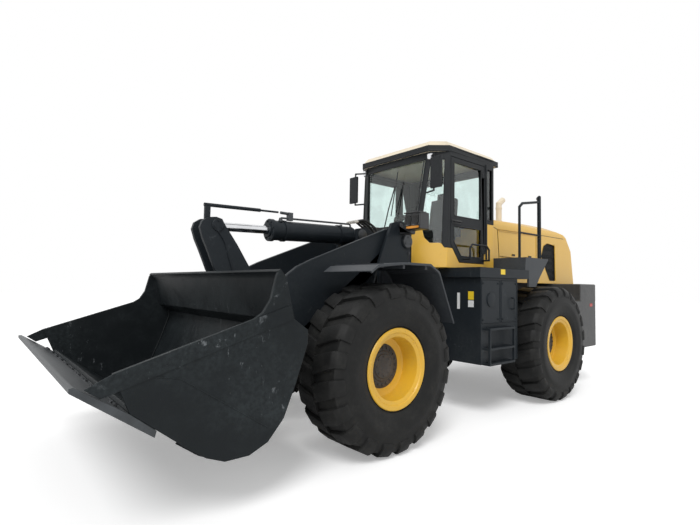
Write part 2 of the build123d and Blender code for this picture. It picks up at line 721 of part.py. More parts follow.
# Bucket: rolled shell, side walls with cutter strips, hinge ears and a wear plate
bucket_half = bucket_width / 2
bucket_back = [
    (5643, 817), (5328, 569), (5181, 463), (5053, 411), (4880, 411), (4738, 471), (4611, 613), (4514, 849),
    (4414, 1133), (4416, 1233), (4539, 1317), (4616, 1624), (4669, 1682),
]
strip_top = [(4695, 1638), (4740, 1460), (4800, 1370), (4867, 1329), (5742, 1054)]
with BuildPart() as bucket:
    with BuildSketch(side(bucket_half)) as shell:
        with BuildLine() as skin:
            Polyline(*bucket_back)
            offset(amount=bucket_shell, side=Side.RIGHT, kind=Kind.INTERSECTION)
        make_face()
    extrude(shell.sketch, amount=bucket_width)
    for hand in (-1, 1):
        plate(bucket_back + strip_top, on_side(hand, bucket_half - bucket_side, bucket_half))
        for low in (455, 603):
            ear = [(4420, 480), (4410, 640), (4500, 900), (4560, 790), (4620, 640), (4760, 480), (4560, 440)]
            plate(ear, on_side(hand, low, low + 37))
        ear_top = [(4260, 860), (4270, 930), (4380, 1020), (4440, 1080), (4530, 830), (4540, 780), (4400, 800), (4290, 820)]
        plate(ear_top, on_side(hand, 72, 112))
    cross_bore(bucket_pivot, pin_radius, (-660, 660), pin_sides)
save("bucket", bucket)

with BuildPart() as cutting_edge:
    edge = [(5490, 695), (5643, 817), (5925, 1002), (lip_reach, 1002), (lip_reach, 975), (5500, 655)]
    plate(edge, (-bucket_half, bucket_half))
save("cutting_edge", cutting_edge)


# Hydraulic cylinders
def barrel(start, end, y, eye, outside, bore, rod, first, last, width):
    """Adds a cylinder barrel with its base eye, from first to last along the line to the end."""
    foot = Vector(start[0], y, start[1])
    line = (Vector(end[0], y, end[1]) - foot).normalized()
    cross_bar(start, eye, (y - width / 2, y + width / 2))
    run_bar(foot + line * (eye * 0.6), foot + line * last, outside)
    run_bar(foot + line * first, foot + line * (last - 60), bore, mode=Mode.SUBTRACT)
    run_bar(foot + line * (last - 70), foot + line * (last + 10), rod + 1, mode=Mode.SUBTRACT)


def rod(start, end, y, radius, inner_end, eye, width):
    """Adds a piston rod with its head eye at the end point."""
    foot = Vector(start[0], y, start[1])
    head = Vector(end[0], y, end[1])
    line = (head - foot).normalized()
    cross_bar(end, eye, (y - width / 2, y + width / 2))
    run_bar(foot + line * inner_end, head - line * (eye * 0.6), radius)


with BuildPart() as tilt_barrel:
    barrel(tilt_base, lever_head, 0, 80, 110, 84, 45, 130, 1205, 250)
    cross_bore(tilt_base, pin_radius, (-140, 140), pin_sides)
save("tilt_barrel", tilt_barrel)

with BuildPart() as tilt_rod:
    rod(tilt_base, lever_head, 0, 45, 700, 68, 130)
save("tilt_rod", tilt_rod)

with BuildPart() as lift_barrels:
    for hand in (-1, 1):
        barrel(lift_base, lift_head, hand * lift_cylinder_y, 75, 92, 72, 45, 120, 1300, 90)
        cross_bore(lift_base, 40, on_side(hand, 240, 450), pin_sides)
save("lift_barrels", lift_barrels)

with BuildPart() as lift_rods:
    for hand in (-1, 1):
        rod(lift_base, lift_head, hand * lift_cylinder_y, 45, 300, 70, 90)
save("lift_rods", lift_rods)

steer_base = (1000, 391, 800)
steer_head = (2095, 340, 800)
for hand, name in ((1, "left"), (-1, "right")):
    foot = Vector(steer_base[0], hand * steer_base[1], steer_base[2])
    head = Vector(steer_head[0], hand * steer_head[1], steer_head[2])
    line = (head - foot).normalized()
    with BuildPart() as steer_barrel:
        disc((foot.X, foot.Y), 55, 748, 104)
        run_bar(foot + line * 20, foot + line * 700, 51)
        run_bar(foot + line * 90, foot + line * 650, 38, mode=Mode.SUBTRACT)
        run_bar(foot + line * 640, foot + line * 710, 26, mode=Mode.SUBTRACT)
        disc((foot.X, foot.Y), (30 + pin_gap) / cos(radians(180 / pin_sides)), 740, 120, mode=Mode.SUBTRACT)
    save(f"steer_barrel_{name}", steer_barrel)
    with BuildPart() as steer_rod:
        disc((head.X, head.Y), 50, 748, 104)
        run_bar(foot + line * 400, head - line * 30, 25)
    save(f"steer_rod_{name}", steer_rod)
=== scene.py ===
import bpy
import bmesh
import math
from mathutils import Matrix, Vector


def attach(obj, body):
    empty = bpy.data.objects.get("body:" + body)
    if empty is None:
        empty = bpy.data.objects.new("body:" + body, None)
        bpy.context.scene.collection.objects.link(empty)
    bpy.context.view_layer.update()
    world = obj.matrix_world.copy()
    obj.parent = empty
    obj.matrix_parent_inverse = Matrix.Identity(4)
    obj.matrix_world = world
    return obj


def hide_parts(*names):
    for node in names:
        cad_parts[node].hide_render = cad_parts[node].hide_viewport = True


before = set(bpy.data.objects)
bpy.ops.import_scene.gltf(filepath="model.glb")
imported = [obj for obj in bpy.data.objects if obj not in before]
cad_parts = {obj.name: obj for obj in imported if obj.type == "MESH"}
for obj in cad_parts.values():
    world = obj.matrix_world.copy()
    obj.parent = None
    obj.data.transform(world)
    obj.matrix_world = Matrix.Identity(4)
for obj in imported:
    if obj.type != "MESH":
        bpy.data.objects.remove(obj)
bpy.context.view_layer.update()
rearAxle = -1.875  # the rear axle's place along X; the side view is drawn ahead of it


def at(x, y, z):
    return Vector((x + rearAxle, y, z))


def newGroup(name, output, **inputs):
    group = bpy.data.node_groups.new(name, "ShaderNodeTree")
    for label, value in inputs.items():
        socket = group.interface.new_socket(name=label, in_out="INPUT", socket_type="NodeSocketFloat")
        socket.default_value = value
    group.interface.new_socket(name=output, in_out="OUTPUT", socket_type="NodeSocketFloat")
    start = group.nodes.new("NodeGroupInput").outputs
    end = group.nodes.new("NodeGroupOutput").inputs[output]
    place = group.nodes.new("ShaderNodeTexCoord").outputs["Object"]
    return group, start, end, place


def addNode(tree, kind, **settings):
    node = tree.nodes.new(kind)
    for key, value in settings.items():
        setattr(node, key, value)
    return node


def setIn(node, **values):
    for key, value in values.items():
        node.inputs[key.replace("_", " ")].default_value = value
    return node


def math2(tree, operation, a, b=None, clamp=False):
    node = addNode(tree, "ShaderNodeMath", operation=operation, use_clamp=clamp)
    for i, value in enumerate((a, b)):
        if value is None:
            continue
        if isinstance(value, (int, float)):
            node.inputs[i].default_value = value
        else:
            tree.links.new(value, node.inputs[i])
    return node.outputs[0]


def times(tree, a, b, clamp=False):
    return math2(tree, "MULTIPLY", a, b, clamp)


def ramp(tree, source, low, high):
    node = addNode(tree, "ShaderNodeMapRange", interpolation_type="SMOOTHSTEP")
    setIn(node, From_Min=low, From_Max=high)
    tree.links.new(source, node.inputs["Value"])
    return node.outputs[0]


def noise(tree, vector, scale, detail=4.0, rough=0.55, stretch=None):
    if stretch:
        mapping = addNode(tree, "ShaderNodeMapping")
        mapping.inputs["Scale"].default_value = stretch
        tree.links.new(vector, mapping.inputs["Vector"])
        vector = mapping.outputs[0]
    node = addNode(tree, "ShaderNodeTexNoise")
    setIn(node, Detail=detail, Roughness=rough)
    if isinstance(scale, (int, float)):
        node.inputs["Scale"].default_value = scale
    else:
        tree.links.new(scale, node.inputs["Scale"])
    tree.links.new(vector, node.inputs["Vector"])
    return node.outputs["Fac"]


def mixColour(tree, factor, a, b, blend="MIX"):
    node = addNode(tree, "ShaderNodeMix", data_type="RGBA", blend_type=blend)
    for slot, value in ((0, factor), (6, a), (7, b)):
        if isinstance(value, (int, float)):
            node.inputs[slot].default_value = value
        elif isinstance(value, tuple):
            node.inputs[slot].default_value = (*value, 1)
        else:
            tree.links.new(value, node.inputs[slot])
    return node.outputs[2]


def newMaterial(name):
    material = bpy.data.materials.new(name)
    material.use_nodes = True
    return material, material.node_tree, material.node_tree.nodes["Principled BSDF"]


def addBump(tree, shader, source, strength, distance):
    bump = addNode(tree, "ShaderNodeBump")
    setIn(bump, Strength=strength, Distance=distance)
    tree.links.new(source, bump.inputs["Height"])
    tree.links.new(bump.outputs["Normal"], shader.inputs["Normal"])


def roughFrom(tree, shader, source, gain, start):
    rougher = math2(tree, "ADD", times(tree, source, gain), start, True)
    tree.links.new(rougher, shader.inputs["Roughness"])


# Dust: pale film that gathers in broad patches and low down
dustGroup, dustIn, dustOut, place = newGroup("dustFilm", "Mask", Scale=1.6, Amount=0.3, Low=0.3)
broad = noise(dustGroup, place, dustIn["Scale"], 5, 0.6)
fine = noise(dustGroup, place, 34, 3, 0.6)
height = addNode(dustGroup, "ShaderNodeSeparateXYZ")
dustGroup.links.new(place, height.inputs[0])
lift = times(dustGroup, ramp(dustGroup, height.outputs["Z"], 2.2, 0.0), dustIn["Low"])
film = times(dustGroup, ramp(dustGroup, broad, 0.38, 0.72), ramp(dustGroup, fine, 0.25, 0.75))
film = times(dustGroup, film, dustIn["Amount"])
settled = times(dustGroup, lift, ramp(dustGroup, broad, 0.3, 0.7))
dustGroup.links.new(math2(dustGroup, "ADD", film, settled, True), dustOut)

# Scuffs: thin scratches and rubbed streaks
scuffGroup, scuffIn, scuffOut, place = newGroup("scuffMarks", "Mask", Scale=6.0, Amount=0.5)
warp = addNode(scuffGroup, "ShaderNodeTexNoise")
setIn(warp, Scale=2.2, Detail=2.0)
scuffGroup.links.new(place, warp.inputs["Vector"])
bent = addNode(scuffGroup, "ShaderNodeMix", data_type="VECTOR")
bent.inputs[0].default_value = 0.08
scuffGroup.links.new(place, bent.inputs[4])
scuffGroup.links.new(warp.outputs["Color"], bent.inputs[5])
lengthwise = noise(scuffGroup, bent.outputs[1], scuffIn["Scale"], 6, 0.75, (1.2, 9.0, 1.0))
crosswise = noise(scuffGroup, bent.outputs[1], scuffIn["Scale"], 6, 0.75, (7.0, 1.0, 1.6))
where = noise(scuffGroup, place, 1.7, 3, 0.5)
lengthwise = ramp(scuffGroup, lengthwise, 0.60, 0.68)
thin = math2(scuffGroup, "MAXIMUM", lengthwise, ramp(scuffGroup, crosswise, 0.62, 0.70))
spot = times(scuffGroup, thin, ramp(scuffGroup, where, 0.47, 0.62))
scuffGroup.links.new(times(scuffGroup, spot, scuffIn["Amount"], True), scuffOut)

# Orange peel and cast skin: a height for the Bump node
skinGroup, skinIn, skinOut, place = newGroup("skinGrain", "Height", Scale=260.0, Waves=3.0)
small = times(skinGroup, noise(skinGroup, place, skinIn["Scale"], 2, 0.5), 0.15)
wide = times(skinGroup, noise(skinGroup, place, skinIn["Waves"], 2, 0.5), 0.85)
skinGroup.links.new(math2(skinGroup, "ADD", small, wide), skinOut)

finishes = {
    "charcoalPaint": dict(colour=(0.014, 0.018, 0.022), worn=(0.13, 0.14, 0.15), dust=(0.060, 0.066, 0.068),
        rough=0.44, coat=0.02, gloss=0.16, dustAmount=0.18, low=0.12, scuff=0.22, grain=220, waves=2.5,
        bump=0.012),
    # The fender finish is the charcoal paint lightened to its top-lit shade, a painted highlight on the
    # fender tops; its dust patches are real dust.
    "topLitFenderPaint": dict(colour=(0.036, 0.041, 0.047), worn=(0.14, 0.15, 0.16), dust=(0.11, 0.115, 0.115),
        rough=0.5, coat=0.05, gloss=0.3, dustAmount=0.3, low=0.1, scuff=0.2, grain=220, waves=2.5,
        bump=0.012),
    "yellowPaint": dict(colour=(0.74, 0.435, 0.048), worn=(0.42, 0.24, 0.06), dust=(0.66, 0.50, 0.20),
        rough=0.36, coat=0.35, dustAmount=0.16, low=0.10, scuff=0.14, grain=240, waves=2.0, bump=0.010),
    "rimPaint": dict(colour=(0.70, 0.40, 0.022), worn=(0.30, 0.14, 0.04), dust=(0.42, 0.28, 0.08),
        rough=0.42, coat=0.3, dustAmount=0.3, low=0.1, scuff=0.35, grain=200, waves=5.0, bump=0.015),
    "creamPaint": dict(colour=(0.80, 0.70, 0.53), worn=(0.5, 0.44, 0.36), dust=(0.60, 0.55, 0.46),
        rough=0.45, coat=0.2, dustAmount=0.35, low=0.0, scuff=0.1, grain=240, waves=2.0, bump=0.010),
    "bucketPaint": dict(colour=(0.009, 0.0115, 0.013), worn=(0.17, 0.185, 0.195),
        dust=(0.036, 0.044, 0.047), rough=0.48, coat=0.02, gloss=0.15, dustAmount=0.75, low=0.12,
        scuff=0.75, grain=180, waves=3.5, bump=0.03),
    "weightPaint": dict(colour=(0.055, 0.056, 0.057), worn=(0.16, 0.16, 0.16), dust=(0.15, 0.15, 0.145),
        rough=0.55, coat=0.05, dustAmount=0.4, low=0.2, scuff=0.3, grain=150, waves=6.0, bump=0.05),
    "castHub": dict(colour=(0.030, 0.030, 0.032), worn=(0.10, 0.09, 0.08), dust=(0.12, 0.10, 0.08),
        rough=0.6, coat=0.0, dustAmount=0.5, low=0.3, scuff=0.3, grain=140, waves=9.0, bump=0.05),
    "blackTrim": dict(colour=(0.014, 0.016, 0.018), worn=(0.08, 0.08, 0.085), dust=(0.07, 0.074, 0.074),
        rough=0.5, coat=0.03, gloss=0.2, dustAmount=0.2, low=0.1, scuff=0.15, grain=300, waves=4.0,
        bump=0.012),
}


def paint(name):
    look = finishes[name]
    material, tree, shader = newMaterial(name)
    dust = addNode(tree, "ShaderNodeGroup", node_tree=dustGroup)
    setIn(dust, Amount=look["dustAmount"], Low=look["low"])
    scuff = addNode(tree, "ShaderNodeGroup", node_tree=scuffGroup)
    setIn(scuff, Amount=look["scuff"])
    skin = addNode(tree, "ShaderNodeGroup", node_tree=skinGroup)
    setIn(skin, Scale=look["grain"], Waves=look["waves"])
    dusty = mixColour(tree, dust.outputs["Mask"], look["colour"], look["dust"])
    colour = mixColour(tree, scuff.outputs["Mask"], dusty, look["worn"])
    tree.links.new(colour, shader.inputs["Base Color"])
    roughFrom(tree, shader, dust.outputs["Mask"], 0.35, look["rough"])
    setIn(shader, Coat_Weight=look["coat"], Coat_Roughness=0.22, Specular_IOR_Level=look.get("gloss", 0.5))
    addBump(tree, shader, skin.outputs["Height"], 0.35, look["bump"])
    return material


paints = {name: paint(name) for name in finishes}


def plainMaterial(name, colour, metal, rough, grain, vary, bump):
    material, tree, shader = newMaterial(name)
    place = addNode(tree, "ShaderNodeTexCoord").outputs["Object"]
    mottle = noise(tree, place, grain * 0.12, 4, 0.6)
    darker = tuple(c * (1 - vary) for c in colour)
    tree.links.new(mixColour(tree, ramp(tree, mottle, 0.3, 0.7), darker, colour), shader.inputs["Base Color"])
    roughFrom(tree, shader, mottle, vary * 0.5, rough - vary * 0.25)
    setIn(shader, Metallic=metal)
    addBump(tree, shader, noise(tree, place, grain, 3, 0.6), 0.3, bump)
    return material


# Plain materials: name, colour, metal, roughness, grain scale, variation and bump in metres
plainLooks = {
    "chrome": ("chromeRod", (0.80, 0.81, 0.83), 1.0, 0.12, 40, 0.12, 0.0005),
    "steel": ("wornSteel", (0.075, 0.082, 0.088), 0.6, 0.45, 60, 0.3, 0.004),
    "bolt": ("darkBolt", (0.09, 0.095, 0.10), 0.8, 0.45, 120, 0.3, 0.002),
    "zinc": ("zincFitting", (0.62, 0.60, 0.55), 0.95, 0.3, 120, 0.2, 0.002),
    "hose": ("hoseRubber", (0.018, 0.019, 0.020), 0.0, 0.55, 320, 0.3, 0.003),
    "plastic": ("blackPlastic", (0.020, 0.021, 0.022), 0.0, 0.48, 420, 0.2, 0.002),
    "seal": ("windowSeal", (0.010, 0.011, 0.012), 0.0, 0.6, 260, 0.2, 0.001),
    "lampCase": ("lampCase", (0.030, 0.031, 0.033), 0.0, 0.35, 240, 0.2, 0.001),
    "reflector": ("lampReflector", (0.85, 0.86, 0.88), 1.0, 0.16, 30, 0.1, 0.002),
    "amber": ("amberLens", (0.85, 0.34, 0.03), 0.0, 0.2, 60, 0.2, 0.001),
    "redLens": ("redLens", (0.45, 0.02, 0.015), 0.0, 0.2, 60, 0.2, 0.001),
    "sticker": ("yellowLabel", (0.85, 0.60, 0.03), 0.0, 0.4, 60, 0.1, 0.0005),
    "whiteLabel": ("whiteLabel", (0.78, 0.79, 0.79), 0.0, 0.45, 60, 0.1, 0.0005),
    "mirror": ("mirrorGlass", (0.75, 0.78, 0.78), 1.0, 0.05, 20, 0.05, 0.0002),
    "clothGrey": ("seatCloth", (0.030, 0.031, 0.034), 0.0, 0.9, 900, 0.35, 0.0015),
}
for look, values in plainLooks.items():
    paints[look] = plainMaterial(*values)


def glassMaterial(name, colour):
    material, tree, shader = newMaterial(name)
    place = addNode(tree, "ShaderNodeTexCoord").outputs["Object"]
    film = ramp(tree, noise(tree, place, 3.0, 5, 0.65), 0.42, 0.75)
    spots = ramp(tree, noise(tree, place, 46, 3, 0.6), 0.62, 0.74)
    paler = tuple(min(1, c * 1.12) for c in colour)
    tree.links.new(mixColour(tree, film, colour, paler), shader.inputs["Base Color"])
    roughFrom(tree, shader, times(tree, spots, 0.35), 0.25, 0.02)
    setIn(shader, Transmission_Weight=1.0, IOR=1.45)
    return material


paints["cabGlass"] = glassMaterial("tintedGlass", (0.80, 0.895, 0.875))
paints["lampGlass"] = glassMaterial("lampGlass", (0.94, 0.96, 0.97))


def tyreMaterial():
    look = dict(colour=(0.0085, 0.0088, 0.0088), dust=(0.050, 0.049, 0.045), rough=0.55)
    material, tree, shader = newMaterial("tyreRubber")
    dust = addNode(tree, "ShaderNodeGroup", node_tree=dustGroup)
    setIn(dust, Amount=0.30, Low=0.10, Scale=5.0)
    place = addNode(tree, "ShaderNodeTexCoord").outputs["Object"]
    colour = mixColour(tree, dust.outputs["Mask"], look["colour"], look["dust"])
    tree.links.new(colour, shader.inputs["Base Color"])
    roughFrom(tree, shader, dust.outputs["Mask"], 0.3, look["rough"])
    setIn(shader, Specular_IOR_Level=0.2)
    addBump(tree, shader, noise(tree, place, 55, 6, 0.7), 0.35, 0.006)
    return material


paints["tyre"] = tyreMaterial()
print("materials made")


def finishObject(name, mesh, look, body):
    piece = bpy.data.objects.new(name, mesh)
    bpy.context.scene.collection.objects.link(piece)
    if not mesh.materials:
        mesh.materials.append(paints[look])
    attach(piece, body)
    return piece


def newMesh(name, work, angle=32):
    bmesh.ops.recalc_face_normals(work, faces=work.faces)
    limit = math.radians(angle)
    for face in work.faces:
        face.smooth = True
    for edge in work.edges:
        edge.smooth = len(edge.link_faces) == 2 and edge.calc_face_angle(0) < limit
    mesh = bpy.data.meshes.new(name)
    work.to_mesh(mesh)
    work.free()
    return mesh


def roundEdges(piece, width):
    bevel = piece.modifiers.new("roundEdges", "BEVEL")
    bevel.width = width
    bevel.segments = 2
    bevel.limit_method = "ANGLE"
    bevel.angle_limit = math.radians(35)
    bevel.use_clamp_overlap = False
    bevel.harden_normals = False
    normals = piece.modifiers.new("evenShading", "WEIGHTED_NORMAL")
    normals.keep_sharp = False
    normals.weight = 80


def dressNode(node, look, width=0.003, merge=True):
    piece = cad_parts[node]
    mesh = piece.data
    if "custom_normal" in mesh.attributes:
        mesh.attributes.remove(mesh.attributes["custom_normal"])
    mesh.shade_smooth()
    mesh.materials.clear()
    mesh.materials.append(paints[look])
    weld = piece.modifiers.new("joinFacets", "WELD")
    weld.merge_threshold = 0.00005
    if merge:
        flat = piece.modifiers.new("flatFaces", "DECIMATE")
        flat.decimate_type = "DISSOLVE"
        flat.angle_limit = math.radians(0.8)
    if width:
        roundEdges(piece, width)
    else:
        normals = piece.modifiers.new("evenShading", "WEIGHTED_NORMAL")
        normals.weight = 80


def addFaces(work, points, faces):
    made = [work.verts.new(p) for p in points]
    for face in faces:
        work.faces.new([made[i] for i in face])


def addBox(work, low, high):
    (x0, y0, z0), (x1, y1, z1) = low, high
    points = [(x, y, z) for z in (z0, z1) for x, y in ((x0, y0), (x1, y0), (x1, y1), (x0, y1))]
    walls = [(i, (i + 1) % 4, (i + 1) % 4 + 4, i + 4) for i in range(4)]
    addFaces(work, points, [(0, 3, 2, 1), (4, 5, 6, 7)] + walls)


def addPrism(work, outline, low, high):
    near = [work.verts.new(at(x, low, z)) for x, z in outline]
    far = [work.verts.new(at(x, high, z)) for x, z in outline]
    work.faces.new(near)
    work.faces.new(far[::-1])
    for i in range(len(outline)):
        j = (i + 1) % len(outline)
        work.faces.new((near[i], near[j], far[j], far[i]))


def sideBox(work, x, y, z):
    addBox(work, at(x[0], y[0], z[0]), at(x[1], y[1], z[1]))


def handBox(work, hand, x, y, z):
    sideBox(work, x, sorted((hand * y[0], hand * y[1])), z)


def crossAxes(axis):
    axis = Vector(axis).normalized()
    across = axis.cross(Vector((0, 0, 1)) if abs(axis.z) < 0.9 else Vector((1, 0, 0))).normalized()
    return axis, across, axis.cross(across)


def addTurned(work, profile, centre, axis, sides=24):
    # profile is a list of (along the axis, radius) points, from one end to the other
    axis, across, up = crossAxes(axis)
    rings = []
    for along, radius in profile:
        middle = Vector(centre) + axis * along
        if radius < 1e-6:
            rings.append([work.verts.new(middle)] * sides)
            continue
        turns = [2 * math.pi * (i + 0.5) / sides for i in range(sides)]
        spokes = [(across * math.cos(t) + up * math.sin(t)) * radius for t in turns]
        rings.append([work.verts.new(middle + spoke) for spoke in spokes])
    for first, second in zip(rings, rings[1:]):
        for i in range(sides):
            j = (i + 1) % sides
            corners = []
            for vert in (first[i], first[j], second[j], second[i]):
                if vert not in corners:
                    corners.append(vert)
            if len(corners) > 2:
                work.faces.new(corners)


def bentRoute(points, bend, steps=5):
    points = [Vector(p) for p in points]
    route = [points[0]]
    for before, corner, after in zip(points, points[1:], points[2:]):
        back, ahead = before - corner, after - corner
        reach = min(bend, back.length * 0.48, ahead.length * 0.48)
        start, end = corner + back.normalized() * reach, corner + ahead.normalized() * reach
        for i in range(steps + 1):
            t = i / steps
            route.append(start * (1 - t) ** 2 + corner * 2 * t * (1 - t) + end * t * t)
    return route + [points[-1]]


def addTube(work, points, radius, bend=0.04, sides=12, steps=5):
    route = bentRoute(points, bend, steps)
    heading = (route[1] - route[0]).normalized()
    _, across, _ = crossAxes(heading)
    rings = []
    for i, place in enumerate(route):
        ahead = (route[min(i + 1, len(route) - 1)] - route[max(i - 1, 0)]).normalized()
        across = heading.rotation_difference(ahead) @ across
        across = (across - ahead * across.dot(ahead)).normalized()
        heading = ahead
        up = ahead.cross(across)
        turns = [2 * math.pi * k / sides for k in range(sides)]
        spokes = [(across * math.cos(t) + up * math.sin(t)) * radius for t in turns]
        rings.append([work.verts.new(place + spoke) for spoke in spokes])
    for first, second in zip(rings, rings[1:]):
        for k in range(sides):
            j = (k + 1) % sides
            work.faces.new((first[k], first[j], second[j], second[k]))
    work.faces.new(rings[0][::-1])
    work.faces.new(rings[-1])


def handTube(work, hand, points, radius, bend=0.01, sides=8, steps=1):
    addTube(work, [at(x, hand * y, z) for x, y, z in points], radius, bend, sides, steps)


def addLoop(work, points, radius, sides=8):
    addTube(work, points + [points[0]], radius, 0.02, sides, 3)


def addCap(work, place, axis, radius, edge, depth, top, sides):
    addTurned(work, [(0, radius), (edge, radius), (depth, top), (depth, 0)], place, axis, sides)


def addBolt(work, place, axis, size, height):
    addTurned(work, [(0, size * 1.45), (0.003, size * 1.45), (0.003, 0)], place, axis, 16)
    head = [(0.002, size), (height - 0.002, size), (height, size * 0.86), (height, 0)]
    addTurned(work, head, place, axis, 6)


def boltCircle(work, centre, hand, count, ring, size, height, start=0.0):
    for i in range(count):
        turn = start + 2 * math.pi * i / count
        place = centre + Vector((math.cos(turn) * ring, 0, math.sin(turn) * ring))
        addBolt(work, place, (0, hand, 0), size, height)


def piece(name, body, look, build, slotName=None, angle=32):
    work = bmesh.new()
    build(work)
    return finishObject(name, newMesh(name, work, angle), look, body)


sides = ((1, "left"), (-1, "right"))

# Materials and rounded edges on the CAD panels
dressing = {
    "charcoalPaint": ["rear_frame", "front_frame", "loader_tower", "boom", "tilt_lever", "bucket_link",
                      "tilt_barrel", "lift_barrels", "steer_barrel_left", "steer_barrel_right", "platform",
                      "side_box_left", "side_box_right", "handrails"],
    # Fenders take the charcoal paint lightened as painted top light.
    "topLitFenderPaint": ["front_fenders", "rear_fenders"],
    "blackTrim": ["cab_frame", "cab_door_left", "cab_door_right", "side_grilles", "rear_grille", "mirrors"],
    "yellowPaint": ["cab_skirt", "hood", "engine_door_left", "engine_door_right"],
    "creamPaint": ["cab_roof", "exhaust_stack"],
    "bucketPaint": ["bucket"],
    "weightPaint": ["counterweight"],
    "castHub": ["front_axle", "rear_axle", "engine_block", "transmission", "centre_driveshaft",
                "front_driveshaft"],
    "steel": ["cutting_edge", "bucket_pins", "lever_pin"],
    "chrome": ["tilt_rod", "lift_rods", "steer_rod_left", "steer_rod_right"],
    "plastic": ["steering_column"],
    "lampCase": ["headlights"],
}
edgeWidths = {"hood": 0.014, "cab_skirt": 0.008, "cab_roof": 0.022, "bucket": 0.005, "counterweight": 0.018,
              "boom": 0.006, "cab_frame": 0.006, "headlights": 0.012, "mirrors": 0.008}
for look, nodeNames in dressing.items():
    for node in nodeNames:
        dressNode(node, look, edgeWidths.get(node, 0.003), not node.startswith("engine_door"))
for node in ("cab_glass", "door_glass_left", "door_glass_right"):
    dressNode(node, "cabGlass", 0)
print("CAD nodes dressed")

# Tyres: a bulged carcass with directional lugs whose shoulders step down the wall
tyre = dict(lugCount=20, lugHalf=0.083, lead=0.042, trail=-0.040, shoulder=0.262, meanRadius=0.78, sides=80)
carcass = [(0.236, 0.330), (0.243, 0.352), (0.246, 0.392), (0.262, 0.400), (0.264, 0.412), (0.272, 0.420),
           (0.286, 0.470), (0.294, 0.520), (0.2965, 0.528), (0.2975, 0.560), (0.2965, 0.590), (0.293, 0.596),
           (0.288, 0.650), (0.274, 0.715), (0.252, 0.752), (0.200, 0.763), (0.0, 0.766)]
# Stations of a lug from the middle outwards: across, crown radius, foot radius
lugStations = [(0.004, 0.797, 0.74), (0.215, 0.796, 0.74), (0.238, 0.788, 0.735), (0.252, 0.772, 0.73),
               (0.262, 0.769, 0.72), (0.280, 0.742, 0.69), (0.2925, 0.715, 0.67), (0.2965, 0.690, 0.655),
               (0.289, 0.664, 0.652)]


def addLug(work, centre, bank, turn):
    rings = []
    for y, top, base in lugStations:
        across = min(y, tyre["shoulder"]) / tyre["shoulder"]
        middle = tyre["lead"] * (1 - across) + tyre["trail"] * across
        half = tyre["lugHalf"] * (1 - 0.10 * across)
        foot = max(y - 0.03 if y > 0.25 else y, 0.002)
        outline = [(-half * 1.12, base, foot), (0.004 - half, top - 0.004, y), (0.012 - half, top, y),
                   (half - 0.012, top, y), (half - 0.004, top - 0.004, y), (half * 1.12, base, foot)]
        ring = []
        for x, radius, out in outline:
            angle = turn + (middle + x) / tyre["meanRadius"]
            place = Vector((math.sin(angle) * radius, bank * out, math.cos(angle) * radius))
            ring.append(work.verts.new(centre + place))
        rings.append(ring)
    for first, second in zip(rings, rings[1:]):
        for k in range(5):
            work.faces.new((first[k], first[k + 1], second[k + 1], second[k]))
    work.faces.new(rings[0])
    work.faces.new(rings[-1][::-1])


def buildTyre(work, centre, hand):
    profile = carcass + [(-y, r) for y, r in carcass[-2::-1]]
    addTurned(work, profile, centre, (0, 1, 0), tyre["sides"])
    for bank in (1, -1):
        shift = 0.5 if bank * hand > 0 else 0
        for i in range(tyre["lugCount"]):
            addLug(work, centre, bank, 2 * math.pi * (i + shift) / tyre["lugCount"])


# Rims: a flanged outer ring, a deep barrel, a dark planetary hub and its nuts
rim = dict(boltCount=20, boltRing=0.176, boltSize=0.011, hubBolts=8, hubRing=0.090, hubBoltSize=0.008)
rimProfile = [(-0.255, 0.338), (-0.262, 0.350), (-0.262, 0.374), (-0.256, 0.381), (-0.246, 0.376),
              (-0.242, 0.335), (-0.238, 0.3185), (0.238, 0.3185), (0.242, 0.335), (0.246, 0.376),
              (0.254, 0.3815), (0.262, 0.376), (0.262, 0.352), (0.258, 0.338), (0.248, 0.330),
              (0.243, 0.306), (0.236, 0.296), (0.214, 0.291), (0.10, 0.284), (0.060, 0.282),
              (0.052, 0.270), (0.046, 0.214)]
backProfile = [(-0.255, 0.338), (-0.232, 0.300), (-0.100, 0.285), (0.0, 0.270), (0.016, 0.214)]
hubProfile = [(0.016, 0.214), (0.046, 0.214), (0.046, 0.205), (0.050, 0.200), (0.056, 0.150), (0.064, 0.140),
              (0.066, 0.120), (0.074, 0.112), (0.0745, 0.060), (0.072, 0.052), (0.072, 0)]
flangeProfile = [(-0.008, 0), (-0.008, 0.24), (0.016, 0.24), (0.016, 0.21)]


def onHand(profile, hand):
    return [(y * hand, r) for y, r in profile]


def buildRim(work, centre, hand):
    for profile in (rimProfile, backProfile):
        addTurned(work, onHand(profile, hand), centre, (0, 1, 0), 72)
    for i in range(4):
        turn = math.pi * (0.25 + 0.5 * i)
        place = centre + Vector((math.cos(turn) * 0.33, hand * 0.2455, math.sin(turn) * 0.33))
        addTurned(work, onHand([(0, 0.012), (0.006, 0.012), (0.006, 0)], hand), place, (0, 1, 0), 16)


def buildHub(work, centre, hand):
    for profile in (hubProfile, flangeProfile):
        addTurned(work, onHand(profile, hand), centre, (0, 1, 0), 48)
    nutFace = centre + Vector((0, hand * 0.052, 0))
    boltCircle(work, nutFace, hand, rim["boltCount"], rim["boltRing"], rim["boltSize"], 0.014)
    capFace = centre + Vector((0, hand * 0.074, 0))
    boltCircle(work, capFace, hand, rim["hubBolts"], rim["hubRing"], rim["hubBoltSize"], 0.006)


